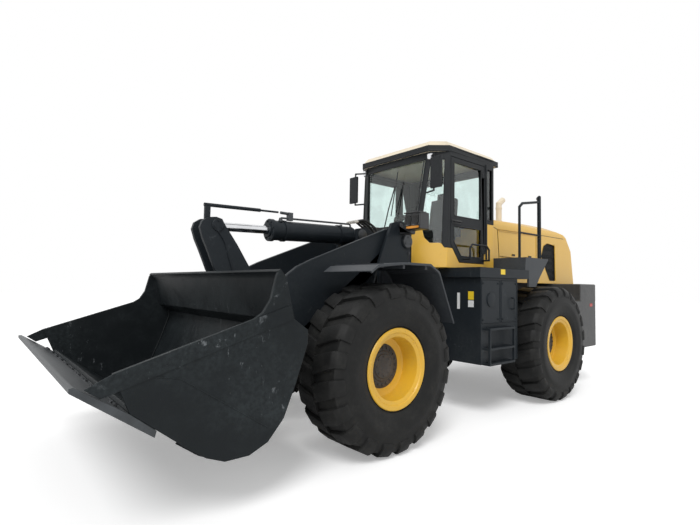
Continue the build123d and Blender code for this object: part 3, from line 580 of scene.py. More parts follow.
wheelPlaces = {"front_left": (3.3, 1), "front_right": (3.3, -1), "rear_left": (0, 1), "rear_right": (0, -1)}
for corner, (ahead, hand) in wheelPlaces.items():
    centre = at(ahead, 1.1 * hand, 0.8)
    body = "wheel_" + corner
    rubber = piece("tyre." + corner, body, "tyre",
                   lambda work: buildTyre(work, centre, hand), "tyre_rubber", 40)
    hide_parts("tyre_" + corner)
    metal = piece("rim." + corner, body, "rimPaint",
                  lambda work: buildRim(work, centre, hand), "body_yellow", 30)
    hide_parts("wheel_" + corner)
    piece("hub." + corner, body, "castHub", lambda work: buildHub(work, centre, hand), "machinery_paint", 30)
print("wheels built")

# Bucket: cutting-edge bolts, side-cutter strips and weld beads
bucketDetail = dict(edgeBolts=11, boltSize=0.016, boltReach=1.36, pairGap=0.035, upBlade=0.22, bead=0.007)
bladeFoot = Vector((5.643, 0, 0.817))
bladeTip = Vector((5.925, 0, 1.002))


def buildEdgeBolts(work):
    blade = bladeTip - bladeFoot
    lean = Vector((-blade.z, 0, blade.x)).normalized()
    row = bladeFoot + blade * bucketDetail["upBlade"]
    for i in range(bucketDetail["edgeBolts"]):
        y = bucketDetail["boltReach"] * (2 * i / (bucketDetail["edgeBolts"] - 1) - 1)
        for shift in (-bucketDetail["pairGap"], bucketDetail["pairGap"]):
            place = at(row.x, y + shift, row.z)
            addBolt(work, place - lean * 0.001, lean, bucketDetail["boltSize"], 0.014)


def buildSideCutters(work):
    strip = [(4.575, 1.420), (4.867, 1.329), (5.742, 1.054), (5.880, 0.985), (5.800, 0.925), (4.555, 1.315)]
    for hand, _ in sides:
        addPrism(work, strip, *sorted((hand * 1.488, hand * 1.496)))
        seam = [(5.50, 1.490, 1.01), (5.365, 1.490, 0.985), (4.745, 1.490, 0.575)]
        handTube(work, hand, seam, 0.005, 0.02, 6, 2)


def buildBucketSeams(work):
    back = [(5.328, 0.569), (5.181, 0.463), (5.053, 0.411), (4.880, 0.411), (4.738, 0.471), (4.611, 0.613),
            (4.514, 0.849), (4.414, 1.133), (4.416, 1.233), (4.539, 1.317), (4.616, 1.624)]
    for hand, _ in sides:
        inner = [(x + 0.035, 1.456, z + 0.02) for x, z in back]
        handTube(work, hand, inner, bucketDetail["bead"], 0.02, 6, 2)
        for low in (0.455, 0.603):
            for side in (-0.002, 0.039):
                handTube(work, hand, [(4.60, low + side, 0.60), (4.50, low + side, 0.85)], 0.006, 0.01, 6)


piece("edgeBolts", "bucket", "bolt", buildEdgeBolts, "edge_steel")
piece("sideCutters", "bucket", "bucketPaint", buildSideCutters, "bucket_paint")
piece("bucketSeams", "bucket", "bucketPaint", buildBucketSeams, "bucket_paint")

# Pin centres of the loader linkage, as (ahead of the rear axle, above ground)
pins = dict(boom=(2.42, 2.10), bucket=(4.50, 0.56), lever=(4.25, 1.52), leverHead=(4.544, 2.136),
            leverFoot=(3.80, 0.90), tiltBase=(2.70, 2.19), liftBase=(2.30, 1.36), liftHead=(3.77, 1.30))


def pinAt(name, y):
    x, z = pins[name]
    return at(x, y, z)


# Boom: pin covers with bolts and welded edge lines
def buildPinCovers(work):
    for hand, _ in sides:
        for name, y, radius in (("boom", 0.596, 0.085), ("bucket", 0.598, 0.09)):
            cover = [(0, radius), (0.010, radius), (0.014, radius - 0.006), (0.014, 0.03), (0.010, 0.028),
                     (0.010, 0)]
            addTurned(work, cover, pinAt(name, hand * y), (0, hand, 0), 36)
            boltCircle(work, pinAt(name, hand * (y + 0.013)), hand, 6, radius * 0.72, 0.008, 0.009)


def buildBoomSeams(work):
    top = [(2.60, 2.258), (2.70, 2.228), (3.37, 1.972), (3.728, 1.831), (3.911, 1.747), (4.032, 1.660),
           (4.19, 1.48), (4.27, 1.30)]
    for hand, _ in sides:
        handTube(work, hand, [(x, 0.574, z - 0.012) for x, z in top], 0.004, 0.03, 6, 2)
        weld = [(-0.006, 0.122), (0.0, 0.108), (0.001, 0.10)]
        addTurned(work, weld, at(3.90, hand * 0.520, 1.45), (0, -hand, 0), 36)
        for name, radius in (("boom", 0.103), ("bucket", 0.108)):
            ring = [(0, radius + 0.010), (0.008, radius)]
            addTurned(work, ring, pinAt(name, hand * 0.575), (0, hand, 0), 40)


piece("pinCovers", "boom", "charcoalPaint", buildPinCovers, "frame_paint")
piece("boomSeams", "boom", "charcoalPaint", buildBoomSeams, "frame_paint")

# Tilt lever and its cylinder: pin covers, gland, pipes and the level indicator
levelRod = dict(radius=0.011, sleeve=1.7)
tiltBase = pinAt("tiltBase", 0)
tiltLine = (pinAt("leverHead", 0) - tiltBase).normalized()


def buildLeverCovers(work):
    for hand, _ in sides:
        for name, radius in (("leverHead", 0.062), ("lever", 0.08), ("leverFoot", 0.066)):
            addCap(work, pinAt(name, hand * 0.120), (0, hand, 0), radius, 0.008, 0.012, radius - 0.005, 36)
            boltCircle(work, pinAt(name, hand * 0.131), hand, 3, radius * 0.68, 0.009, 0.010, math.pi / 2)


def buildLevelPost(work):
    sideBox(work, (4.600, 4.655), (0.035, 0.065), (2.19, 2.345))
    sleeve = levelRod["radius"] * levelRod["sleeve"]
    handTube(work, 1, [(4.66, 0.05, 2.332), (4.05, 0.05, 2.347)], sleeve, 0.01, 12, 5)
    handTube(work, 1, [(4.10, 0.05, 2.346), (3.83, 0.05, 2.352)], levelRod["radius"], 0.01, 12, 5)
    for hand, _ in sides:
        pipe = [(4.56, 0.128, 2.10), (4.47, 0.128, 1.98), (4.36, 0.128, 1.62)]
        handTube(work, hand, pipe, 0.007, 0.05, 8, 4)


def buildTiltGland(work):
    gland = [(1.170, 0.112), (1.172, 0.122), (1.212, 0.122), (1.216, 0.112), (1.216, 0.075), (1.235, 0.072),
             (1.235, 0.047)]
    addTurned(work, gland, tiltBase, tiltLine, 48)
    for along in (0.24, 1.02):
        clamp = [(along, 0.112), (along, 0.119), (along + 0.035, 0.119), (along + 0.035, 0.112)]
        addTurned(work, clamp, tiltBase, tiltLine, 40)
    _, across, up = crossAxes(tiltLine)
    for i in range(8):
        turn = math.pi * i / 4 + 0.2
        place = tiltBase + tiltLine * 1.214 + (across * math.cos(turn) + up * math.sin(turn)) * 0.099
        addBolt(work, place, tiltLine, 0.010, 0.014)


def buildTiltPipes(work):
    rise = 0.135
    for y, start in ((0.055, 1.10), (-0.055, 0.16)):
        port = tiltBase + tiltLine * start
        boss = [(0, 0.024), (0.02, 0.024), (0.02, 0.018), (0.04, 0.018), (0.04, 0)]
        addTurned(work, boss, port + Vector((0, y, 0.095)), (0, 0, 1), 20)
        if start > 0.5:
            top = port + Vector((0, y, rise))
            run = tiltBase + tiltLine * 0.10 + Vector((0, y, rise))
            addTube(work, [top - Vector((0, 0, 0.03)), top, run, run - Vector((0, 0, 0.06))], 0.011, 0.03, 12)
    sensor = tiltBase + tiltLine * 0.98 + Vector((0, 0.05, 0.112))
    addBox(work, sensor - Vector((0.03, 0.022, 0)), sensor + Vector((0.03, 0.022, 0.09)))
    addTube(work, [sensor + Vector((0, 0, 0.075)), sensor + Vector((0.12, 0, 0.078))], 0.016, 0.01, 12)


piece("leverCovers", "tilt_lever", "charcoalPaint", buildLeverCovers, "frame_paint")
piece("levelPost", "tilt_lever", "charcoalPaint", buildLevelPost, "frame_paint")
piece("tiltGland", "tilt_barrel", "charcoalPaint", buildTiltGland, "frame_paint")
piece("tiltPipes", "tilt_barrel", "steel", buildTiltPipes, "edge_steel")


# Lift and steering cylinders: glands and pipes; last is the barrel's end along its line
def buildGlands(work, foot, head, last, radius, rodRadius):
    line = (head - foot).normalized()
    gland = [(last - 0.05, radius), (last - 0.048, radius + 0.009), (last - 0.004, radius + 0.009),
             (last, radius), (last, rodRadius + 0.02), (last + 0.015, rodRadius + 0.018),
             (last + 0.015, rodRadius + 0.001)]
    addTurned(work, gland, foot, line, 40)
    clamp = [(0.14, radius), (0.14, radius + 0.006), (0.17, radius + 0.006), (0.17, radius)]
    addTurned(work, clamp, foot, line, 40)
    _, _, up = crossAxes(line)
    out = up if up.z > 0 else -up
    low, high = out * radius * 0.9, out * (radius + 0.03)
    far, near = foot + line * (last - 0.03), foot + line * 0.2
    addTube(work, [far + low, far + high, near + high, near + low], 0.010, 0.02, 10)


for hand, name in sides:
    liftEnds = pinAt("liftBase", hand * 0.33), pinAt("liftHead", hand * 0.33)
    steerEnds = at(1.0, hand * 0.391, 0.80), at(2.095, hand * 0.34, 0.80)
    piece("liftGland." + name, "lift_barrels", "charcoalPaint",
          lambda work: buildGlands(work, *liftEnds, 1.30, 0.092, 0.045), "frame_paint")
    piece("steerGland." + name, "steer_barrel_" + name, "charcoalPaint",
          lambda work: buildGlands(work, *steerEnds, 0.70, 0.051, 0.025), "frame_paint")
print("linkage detailed")

# Cab: window seals, roof trim and lamps, wiper, mirror glass, door handles and hinge bolts
cab = dict(sealRadius=0.007, sidePlane=0.7985, rearPlane=0.722, screenFoot=2.125, screenLean=-0.155 / 1.48)


def buildWindowSeals(work):
    screen = [(-0.455, 2.365), (-0.530, 3.195), (0.530, 3.195), (0.455, 2.365)]
    loops = [[at(cab["screenFoot"] + cab["screenLean"] * (z - 1.81) - 0.004, y, z) for y, z in screen]]
    rear = [(-0.615, 2.495), (-0.615, 3.185), (0.615, 3.185), (0.615, 2.495)]
    loops.append([at(cab["rearPlane"], y, z) for y, z in rear])
    quarter = [(0.835, 2.495), (0.835, 3.205), (0.970, 3.205), (0.970, 2.495)]
    for hand, _ in sides:
        loops.append([at(x, hand * cab["sidePlane"], z) for x, z in quarter])
    for loop in loops:
        addLoop(work, loop, cab["sealRadius"])


def buildDoorSeals(work, hand):
    upper = [(1.105, 2.475), (1.105, 3.165), (1.706, 3.165), (1.706, 2.475)]
    lower = [(1.105, 1.965), (1.105, 2.345), (1.706, 2.345), (1.706, 2.145), (1.556, 1.965)]
    for pane in (upper, lower):
        addLoop(work, [at(x, hand * cab["sidePlane"], z) for x, z in pane], cab["sealRadius"])


def buildRoofTrim(work):
    half = [(0.658, 0.782), (1.802, 0.803), (2.003, 0.621)]
    band = [(x, -y) for x, y in half] + half[::-1] + [(0.658, -0.782)]
    for (x0, y0), (x1, y1) in zip(band, band[1:]):
        strip = [at(x0, y0, 3.286), at(x1, y1, 3.286), at(x1, y1, 3.362), at(x0, y0, 3.362)]
        addFaces(work, strip, ((0, 1, 2, 3),))
    edge = [(0.662, 0.776, 3.298), (1.798, 0.796, 3.298), (1.995, 0.618, 3.298), (1.995, 0, 3.298)]
    for hand, _ in sides:
        handTube(work, hand, edge, 0.012, 0.03, 8, 3)
        for x in (0.80, 1.25):
            handTube(work, hand, [(x, 0.79, 3.352), (x + 0.40, 0.796, 3.352)], 0.010)
        handTube(work, hand, [(0.99, 0.806, 1.95), (0.99, 0.806, 3.26)], 0.014, 0.01, 10)
        for z in (1.98, 2.6, 3.2):
            handBox(work, hand, (0.975, 1.005), (0.798, 0.808), (z, z + 0.04))


def lampAt(work, place, aim, width, height, depth):
    aim, across, up = crossAxes(aim)
    up = up if up.z > 0 else -up
    turns = [2 * math.pi * (t + 0.5) / 16 for t in range(16)]
    square = [[math.copysign(abs(c) ** 0.45, c) / 2 for c in (math.cos(t), math.sin(t))] for t in turns]
    bezel, lens = (width, height, 0, depth), (width * 0.88, height * 0.86, depth, depth + 0.006)
    for wide, tall, start, end in (bezel, lens):
        corners = [across * x * wide + up * y * tall for x, y in square]
        taper = 0.8 if start == 0 else 1
        back = [work.verts.new(place + aim * start + c * taper) for c in corners]
        front = [work.verts.new(place + aim * end + c) for c in corners]
        work.faces.new(back[::-1])
        work.faces.new(front)
        for i in range(16):
            j = (i + 1) % 16
            work.faces.new((back[i], back[j], front[j], front[i]))


roofLamps = [(at(1.90, 0.60, 3.235), (0.94, 0.3, -0.15)), (at(1.90, -0.60, 3.235), (0.94, -0.3, -0.15)),
             (at(0.70, 0.60, 3.235), (-1, 0.1, -0.15)), (at(0.70, -0.60, 3.235), (-1, -0.1, -0.15))]


def buildRoofLamps(work):
    for place, aim in roofLamps:
        lampAt(work, place, aim, 0.105, 0.095, 0.06)
        addTube(work, [place + Vector((0, 0, 0.03)), place + Vector((0, 0, 0.07))], 0.010, 0.01, 8, 1)


def buildRoofLenses(work):
    for place, aim in roofLamps:
        lampAt(work, place + Vector(aim).normalized() * 0.0605, aim, 0.088, 0.078, 0.004)


def buildWiper(work):
    handTube(work, 1, [(2.108, -0.05, 2.335), (2.098, 0.02, 2.60), (2.062, 0.10, 2.90)], 0.008, 0.05, 8, 3)
    handTube(work, 1, [(2.100, 0.07, 2.50), (2.040, 0.13, 3.10)], 0.007)
    addTurned(work, [(0, 0.022), (0.03, 0.020), (0.03, 0)], at(2.085, -0.05, 2.335), (1, 0, 0.1), 20)


def buildDoorTrim(work, hand):
    grip = [(1.60, 0.80, 2.40), (1.60, 0.845, 2.40), (1.72, 0.845, 2.40), (1.72, 0.80, 2.40)]
    handTube(work, hand, grip, 0.011, 0.02, 10, 3)
    handBox(work, hand, (1.57, 1.75), (0.799, 0.806), (2.375, 2.425))
    for z in (2.038, 2.072, 3.078, 3.112):
        addBolt(work, at(1.082, hand * 0.811, z), (0, hand, 0), 0.008, 0.007)


def buildMirrorGlass(work):
    outline = ((0.705, 2.81), (0.845, 2.81), (0.845, 3.16), (0.705, 3.16))
    for hand, _ in sides:
        work.faces.new([work.verts.new(at(2.0185, hand * y, z)) for y, z in outline])


for hand, name in sides:
    door = "cab_door_" + name
    piece("doorSeals." + name, door, "seal", lambda work: buildDoorSeals(work, hand), "trim_plastic")
    piece("doorTrim." + name, door, "plastic", lambda work: buildDoorTrim(work, hand), "trim_plastic")
piece("windowSeals", "rear_frame", "seal", buildWindowSeals, "trim_plastic")
piece("roofTrim", "rear_frame", "blackTrim", buildRoofTrim, "frame_paint")
piece("roofLamps", "rear_frame", "lampCase", buildRoofLamps, "lamp_housing")
piece("roofLenses", "rear_frame", "reflector", buildRoofLenses, "lamp_housing")
piece("wiper", "rear_frame", "plastic", buildWiper, "trim_plastic")
piece("mirrorGlass", "rear_frame", "mirror", buildMirrorGlass, "rod_chrome")

# Cab interior: padded seat, armrests, console and steering wheel
interior = dict(wheelRadius=0.178, gripRadius=0.014, roundness=0.25, crown=0.022, channel=0.012)


def cushion(name, low, high, crown, turn=0.0):
    middle, size = (low + high) / 2, (high - low) / 2
    work = bmesh.new()
    bmesh.ops.create_cube(work, size=2)
    bmesh.ops.subdivide_edges(work, edges=work.edges, cuts=11, use_grid_fill=True)
    for vert in work.verts:
        x, y, z = vert.co
        soft = vert.co.normalized() * max(abs(x), abs(y), abs(z))
        shape = vert.co * 0.80 + soft * interior["roundness"]
        channel = interior["channel"] * max(0, 1 - abs(abs(y) - 0.62) / 0.06)
        place = shape * size
        if crown == "top" and z > 0.9:
            place.z += interior["crown"] * (1 - x * x) * (1 - y * y) - channel
        if crown == "front" and x > 0.9:
            place.x += interior["crown"] * (1 - y * y) * (1 - z * z) - channel
        vert.co = middle + Matrix.Rotation(turn, 3, "Y") @ place
    pad = finishObject(name, newMesh(name, work, 60), "clothGrey", "rear_frame")
    return pad


base = cushion("seatCushion", at(0.90, -0.24, 2.255), at(1.37, 0.24, 2.375), "top")
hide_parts("seat")
cushion("seatBack", at(0.845, -0.22, 2.38), at(0.955, 0.22, 2.90), "front", -0.14)
cushion("headRest", at(0.800, -0.13, 2.86), at(0.885, 0.13, 2.99), "front", -0.10)


def buildSeatBase(work):
    sideBox(work, (0.92, 1.30), (-0.18, 0.18), (1.85, 1.90))
    for i in range(5):
        inset = 0.012 * (i % 2)
        fold = (1.90 + 0.06 * i, 1.90 + 0.06 * (i + 1))
        sideBox(work, (0.94 + inset, 1.27 - inset), (-0.17 + inset, 0.17 - inset), fold)
    sideBox(work, (0.90, 1.33), (-0.21, 0.21), (2.20, 2.25))
    for hand, _ in sides:
        handBox(work, hand, (0.95, 1.25), (0.27, 0.34), (2.50, 2.545))
        handBox(work, hand, (0.93, 0.98), (0.24, 0.34), (2.30, 2.50))
    sideBox(work, (0.95, 1.50), (-0.52, -0.37), (1.85, 2.42))


def buildSteeringWheel(work):
    middle = at(1.700, 0, 2.462)
    axis, across, up = crossAxes((-0.42, 0, 0.907))
    turns = [2 * math.pi * i / 40 for i in range(41)]
    ring = [middle + (across * math.cos(t) + up * math.sin(t)) * interior["wheelRadius"] for t in turns]
    addTube(work, ring, interior["gripRadius"], 0.001, 10, 1)
    addTurned(work, [(-0.02, 0.05), (0.006, 0.05), (0.012, 0.04), (0.012, 0)], middle, axis, 24)
    knob = [(0, 0.012), (0.015, 0.024), (0.04, 0.024), (0.055, 0.010), (0.055, 0)]
    for x, y, lift in ((1.44, -0.44, 0.20), (1.40, -0.47, 0.18)):
        handTube(work, 1, [(x - 0.02, y, 2.40), (x, y, 2.40 + lift)], 0.010)
        addTurned(work, knob, at(x, y, 2.39 + lift), (0, 0, 1), 20)


piece("seatBase", "rear_frame", "plastic", buildSeatBase, "trim_plastic")
piece("steeringWheel", "rear_frame", "plastic", buildSteeringWheel, "trim_plastic")
print("cab detailed")

# Headlights: twin reflectors behind clear lenses, amber turn lamps
headlamp = dict(across=(0.847, 0.953), height=2.315, face=2.600, width=0.098, tall=0.125)


def buildReflectors(work, hand):
    for y in headlamp["across"]:
        place = at(headlamp["face"], hand * y, headlamp["height"])
        lampAt(work, place, (1, 0, 0), headlamp["width"], headlamp["tall"], 0.003)
        addTurned(work, [(0.009, 0.034), (0.011, 0.040), (0.008, 0.043)], place, (1, 0, 0), 28)


def buildHeadLenses(work, hand):
    for y in headlamp["across"]:
        place = at(headlamp["face"] + 0.012, hand * y, headlamp["height"])
        lampAt(work, place, (1, 0, 0), headlamp["width"] + 0.002, headlamp["tall"] + 0.002, 0.004)


def buildHeadBezels(work, hand):
    x, halfWidth, halfTall = headlamp["face"] + 0.008, headlamp["width"] / 2, headlamp["tall"] / 2
    for y in headlamp["across"]:
        corners = [(x, y + a * halfWidth, headlamp["height"] + b * halfTall) for a, b in
                   ((-1, -1), (1, -1), (1, 1), (-1, 1), (-1, -1))]
        handTube(work, hand, corners, 0.008, 0.012, 8, 3)
    handBox(work, hand, (2.50, 2.622), (0.785, 1.015), (2.392, 2.404))
    for x in (2.50, 2.54):
        addBolt(work, at(x, hand * 0.75, 2.21), (0, 0, 1), 0.009, 0.009)


def buildTurnLamps(work, hand):
    lampAt(work, at(2.595, hand * 0.90, 2.235), (1, 0, 0), 0.19, 0.035, 0.010)


headPieces = (("headReflector.", "reflector", buildReflectors, "rod_chrome"),
              ("headLens.", "lampGlass", buildHeadLenses, "tinted_glass"),
              ("headBezel.", "lampCase", buildHeadBezels, "lamp_housing"),
              ("turnLamp.", "amber", buildTurnLamps, "lamp_housing"))
for hand, name in sides:
    for start, look, build, slotName in headPieces:
        piece(start + name, "front_frame", look, lambda work: build(work, hand), slotName)

# Loader tower: bolt column, pin covers, hoses to the tilt cylinder
tower = dict(bolts=5, boltSize=0.014, boltStep=0.12, hoses=(-0.09, -0.03, 0.03, 0.09), hoseRadius=0.015)


def buildTowerBolts(work):
    for hand, _ in sides:
        for i in range(tower["bolts"]):
            place = at(2.375, hand * 0.646, 1.72 + tower["boltStep"] * i)
            addBolt(work, place, (0, hand, 0), tower["boltSize"], 0.014)
        for name, y, radius in (("boom", 0.660, 0.078), ("liftBase", 0.472, 0.055)):
            addCap(work, pinAt(name, hand * y), (0, hand, 0), radius, 0.010, 0.014, radius - 0.005, 32)
            face = pinAt(name, hand * (y + 0.013))
            boltCircle(work, face, hand, 3, radius * 0.65, 0.009, 0.009, math.pi / 2)
        addCap(work, pinAt("tiltBase", hand * 0.170), (0, hand, 0), 0.07, 0.010, 0.013, 0.064, 32)


def buildTowerHoses(work):
    for y in tower["hoses"]:
        route = [(2.36, y, 1.80), (2.40, y, 2.02), (2.36, y * 1.2, 2.28), (2.60, y, 2.40),
                 (2.72, y * 0.7, 2.36)]
        handTube(work, 1, route, tower["hoseRadius"], 0.12, 12, 8)
    for hand, _ in sides:
        for z in (0.80, 0.90):
            route = [(2.04, 0.20, z + 0.2), (2.16, 0.27, z + 0.22), (2.25, 0.30, 1.20), (2.28, 0.34, 1.28)]
            handTube(work, hand, route, 0.013, 0.10, 10, 6)


def buildHoseEnds(work):
    fitting = [(-0.01, 0), (-0.01, 0.02), (0.02, 0.02), (0.02, 0.017), (0.05, 0.017), (0.05, 0)]
    for y in tower["hoses"]:
        addTurned(work, fitting, at(2.36, y, 1.80), (0.18, 0, 0.98), 6)
        addTurned(work, fitting, at(2.70, y * 0.75, 2.367), (0.9, 0, -0.25), 6)


piece("towerBolts", "front_frame", "bolt", buildTowerBolts, "edge_steel")
piece("towerHoses", "front_frame", "hose", buildTowerHoses, "tyre_rubber")
piece("hoseEnds", "front_frame", "zinc", buildHoseEnds, "edge_steel")


# Fenders: rolled rims and bracket bolts
def buildFenderRims(work):
    outline = [(3.685, 1.697), (3.60, 1.757), (3.246, 1.792), (2.88, 1.792), (2.742, 1.718), (2.504, 1.203)]
    for hand, _ in sides:
        handTube(work, hand, [(x, 1.392, z - 0.012) for x, z in outline], 0.010, 0.04, 8, 4)
        for x in (2.95, 3.35):
            for y in (0.76, 1.0):
                addBolt(work, at(x, hand * y, 1.795), (0, 0, 1), 0.010, 0.0)


def buildFenderRibs(work):
    for hand, _ in sides:
        for x in (2.92, 3.24, 3.52):
            handBox(work, hand, (x, x + 0.03), (0.71, 1.38), (1.735, 1.775))


piece("fenderRims", "front_frame", "topLitFenderPaint", buildFenderRims, "frame_paint")
piece("fenderRibs", "front_frame", "topLitFenderPaint", buildFenderRibs, "frame_paint")

# Hood: seams, latches, grab handles, radiator cores behind the grilles
hoodSide = 0.6402


def buildHoodSeams(work):
    door = [(0.549, 2.455), (0.442, 2.430), (0.400, 2.030), (0.400, 1.66)]
    for hand, _ in sides:
        handTube(work, hand, [(x, hoodSide, z) for x, z in door], 0.004, 0.02, 6, 3)
        handTube(work, hand, [(-0.72, hoodSide, 2.45), (-0.72, hoodSide, 1.66)], 0.004, 0.02, 6, 2)
        handTube(work, hand, [(-0.72, hoodSide, 2.452), (-1.70, hoodSide, 2.452)], 0.004, 0.02, 6, 2)
    handTube(work, 1, [(-1.183, -0.47, 2.6148), (-1.183, 0.47, 2.6148)], 0.004, 0.02, 6, 2)


def buildCores(work):
    for hand, _ in sides:
        handBox(work, hand, (-1.42, -0.89), (0.585, 0.598), (1.70, 2.34))
    sideBox(work, (-1.93, -1.92), (-0.44, 0.44), (1.71, 2.25))


def buildGrilleMesh(work):
    wire = 0.003
    for hand, _ in sides:
        for i in range(26):
            x = -1.39 + 0.0195 * i
            handBox(work, hand, (x, x + wire), (0.619, 0.622), (1.72, 2.33))
        for i in range(31):
            z = 1.72 + 0.0200 * i
            handBox(work, hand, (-1.40, -0.90), (0.6175, 0.6195), (z, z + wire))


def buildHandles(work):
    grip = [(-1.979, 0.50, 2.20), (-2.10, 0.56, 2.16), (-2.165, 0.56, 1.84), (-2.085, 0.50, 1.76)]
    for hand, _ in sides:
        handTube(work, hand, grip, 0.014, 0.05, 10, 5)
        for x in (0.0, -0.5):
            handBox(work, hand, (x - 0.04, x + 0.04), (0.6405, 0.652), (2.06, 2.085))


piece("hoodSeams", "rear_frame", "seal", buildHoodSeams, "trim_plastic")
piece("radiatorCores", "rear_frame", "castHub", buildCores, "machinery_paint")
piece("grilleMesh", "rear_frame", "blackTrim", buildGrilleMesh, "frame_paint")
piece("hoodHandles", "rear_frame", "blackTrim", buildHandles, "frame_paint")


def buildExhaustTop(work):
    addTurned(work, [(0, 0.060), (0.03, 0.064), (0.06, 0.060)], at(-0.65, 0, 2.60), (0, 0, 1), 32)
    addTurned(work, [(0, 0.075), (0.012, 0.075), (0.012, 0.052)], at(-0.65, 0, 2.612), (0, 0, 1), 32)
    for z in (2.72, 2.94):
        band = [(0, 0.051), (0, 0.055), (0.025, 0.055), (0.025, 0.051)]
        addTurned(work, band, at(-0.65, 0, z), (0, 0, 1), 32)


piece("exhaustTrim", "rear_frame", "creamPaint", buildExhaustTop, "exhaust_steel")

# Side boxes: doors, covers and steps; platform: tread bars; labels; rear: reflectors and lamps
boxSide = 1.2003


def buildBoxDoors(work):
    loopHandle = [(1.02, boxSide, 1.30), (1.02, boxSide + 0.04, 1.30), (1.02, boxSide + 0.04, 1.44),
                  (1.02, boxSide, 1.44)]
    for hand, _ in sides:
        y = hand * boxSide
        for x0, x1 in ((0.90, 1.27), (1.30, 1.70)):
            addLoop(work, [at(x0, y, 1.14), at(x1, y, 1.14), at(x1, y, 1.66), at(x0, y, 1.66)], 0.006, 6)
        cover = [(0, 0.09), (0.010, 0.088), (0.014, 0.07), (0.014, 0)]
        addTurned(work, cover, at(1.50, y, 1.42), (0, hand, 0), 36)
        for x in (0.93, 1.24, 1.34, 1.67):
            for z in (1.18, 1.62):
                addBolt(work, at(x, y, z), (0, hand, 0), 0.010, 0.009)
        handTube(work, hand, loopHandle, 0.009, 0.02, 8, 3)


def buildTread(work):
    step = 0.045
    for hand, _ in sides:
        for i in range(12):
            x = 1.13 + step * i
            for z in (0.670, 0.850, 1.085):
                handBox(work, hand, (x, x + 0.018), (1.205, 1.295), (z, z + 0.005))
        for i in range(22):
            x = 0.74 + step * i
            handBox(work, hand, (x, x + 0.020), (0.84, 1.19), (1.8095, 1.815))


def buildYellowLabels(work):
    for hand, _ in sides:
        handBox(work, hand, (1.21, 1.31), (1.2195, 1.2215), (1.735, 1.800))
        handBox(work, hand, (1.712, 1.7145), (1.02, 1.10), (1.42, 1.52))


def buildWhiteLabels(work):
    for hand, _ in sides:
        handBox(work, hand, (1.712, 1.7145), (0.86, 0.90), (1.30, 1.50))
        handBox(work, hand, (1.712, 1.7145), (1.02, 1.10), (1.33, 1.41))


def buildRearReflectors(work):
    for hand, _ in sides:
        handBox(work, hand, (-1.62, -1.52), (1.1495, 1.1535), (1.28, 1.33))
        addCap(work, at(-2.172, hand * 0.60, 1.52), (-1, 0, 0), 0.05, 0.02, 0.03, 0.035, 28)


def buildRearTurnLamps(work):
    for hand, _ in sides:
        addCap(work, at(-2.178, hand * 0.47, 1.52), (-1, 0, 0), 0.045, 0.015, 0.022, 0.03, 28)


piece("boxDoors", "rear_frame", "charcoalPaint", buildBoxDoors, "frame_paint")
piece("treadBars", "rear_frame", "charcoalPaint", buildTread, "frame_paint")
piece("yellowLabels", "rear_frame", "sticker", buildYellowLabels, "body_yellow")
piece("whiteLabels", "rear_frame", "whiteLabel", buildWhiteLabels, "roof_cream")
piece("rearReflectors", "rear_frame", "redLens", buildRearReflectors, "lamp_housing")
piece("rearTurnLamps", "rear_frame", "amber", buildRearTurnLamps, "lamp_housing")
print("bodywork detailed")

# Floor, light and camera
light = dict(worldStrength=0.55, sunStrength=1.7, sunAngle=24, fillStrength=120, floorGlow=0.28,
             floorColour=(0.93, 0.93, 0.93, 1))
collection = bpy.context.scene.collection
world = bpy.data.worlds.new("studio")
bpy.context.scene.world = world
world.use_nodes = True
tree = world.node_tree
background = tree.nodes["Background"]
seen = addNode(tree, "ShaderNodeLightPath").outputs
glassy = math2(tree, "MAXIMUM", seen["Is Glossy Ray"], seen["Is Transmission Ray"])
level = addNode(tree, "ShaderNodeMapRange")
setIn(level, To_Min=light["worldStrength"], To_Max=1.0)
tree.links.new(math2(tree, "MAXIMUM", seen["Is Camera Ray"], glassy), level.inputs["Value"])
tree.links.new(level.outputs[0], background.inputs["Strength"])
background.inputs["Color"].default_value = (1, 1, 1, 1)

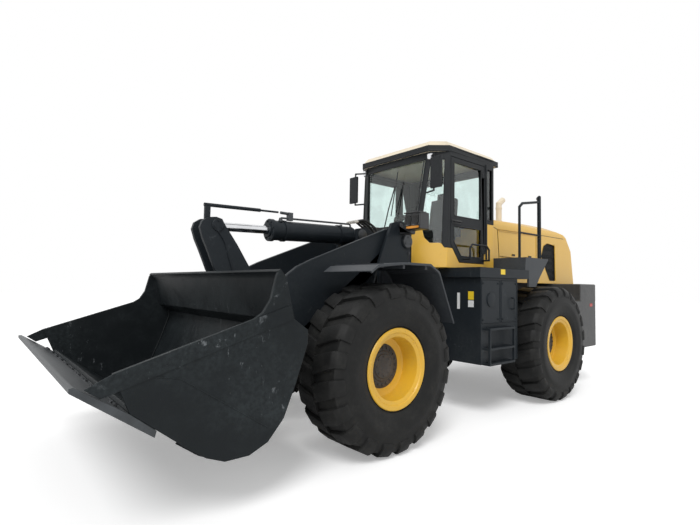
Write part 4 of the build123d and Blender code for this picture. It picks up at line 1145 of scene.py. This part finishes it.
floorWork = bmesh.new()
corners = [(-60, -60, -0.001), (60, -60, -0.001), (60, 60, -0.001), (-60, 60, -0.001)]
addFaces(floorWork, corners, ((0, 1, 2, 3),))
floorMesh = newMesh("floor", floorWork)
floorLook, tree, shader = newMaterial("paleFloor")
setIn(shader, Base_Color=light["floorColour"], Roughness=0.9, Specular_IOR_Level=0.0,
      Emission_Color=(1, 1, 1, 1))
seen = addNode(tree, "ShaderNodeLightPath").outputs
tree.links.new(times(tree, seen["Is Camera Ray"], light["floorGlow"]), shader.inputs["Emission Strength"])
floorMesh.materials.append(floorLook)
floor = bpy.data.objects.new("floor", floorMesh)
collection.objects.link(floor)

sun = bpy.data.objects.new("softSun", bpy.data.lights.new("softSun", "SUN"))
sun.data.energy = light["sunStrength"]
sun.data.angle = math.radians(light["sunAngle"])
sun.rotation_euler = (math.radians(38), math.radians(12), math.radians(115))
collection.objects.link(sun)
fill = bpy.data.objects.new("fillPanel", bpy.data.lights.new("fillPanel", "AREA"))
fill.data.energy = light["fillStrength"]
fill.data.size = 6
fill.location = (8.5, 7.5, 4.5)
fill.rotation_euler = (Vector((0.5, 0, 1.2)) - fill.location).to_track_quat("-Z", "Y").to_euler()
collection.objects.link(fill)

view = dict(place=(4.512, 4.275, 1.573), yaw=229.59, pitch=2.86, roll=0.93, lens=23.153, sensor=36)
yaw, pitch, roll = (math.radians(view[key]) for key in ("yaw", "pitch", "roll"))
ahead = Vector((math.cos(pitch) * math.cos(yaw), math.cos(pitch) * math.sin(yaw), math.sin(pitch)))
right = ahead.cross(Vector((0, 0, 1))).normalized()
up = right.cross(ahead)
turnedRight = right * math.cos(roll) + up * math.sin(roll)
turnedUp = -right * math.sin(roll) + up * math.cos(roll)
facing = Matrix((turnedRight, turnedUp, -ahead)).transposed()
camera = bpy.data.objects.new("photoCamera", bpy.data.cameras.new("photoCamera"))
camera.data.lens = view["lens"]
camera.data.sensor_width = view["sensor"]
camera.matrix_world = Matrix.Translation(view["place"]) @ facing.to_4x4()
collection.objects.link(camera)
bpy.context.scene.camera = camera
bpy.context.scene.view_settings.view_transform = "Standard"
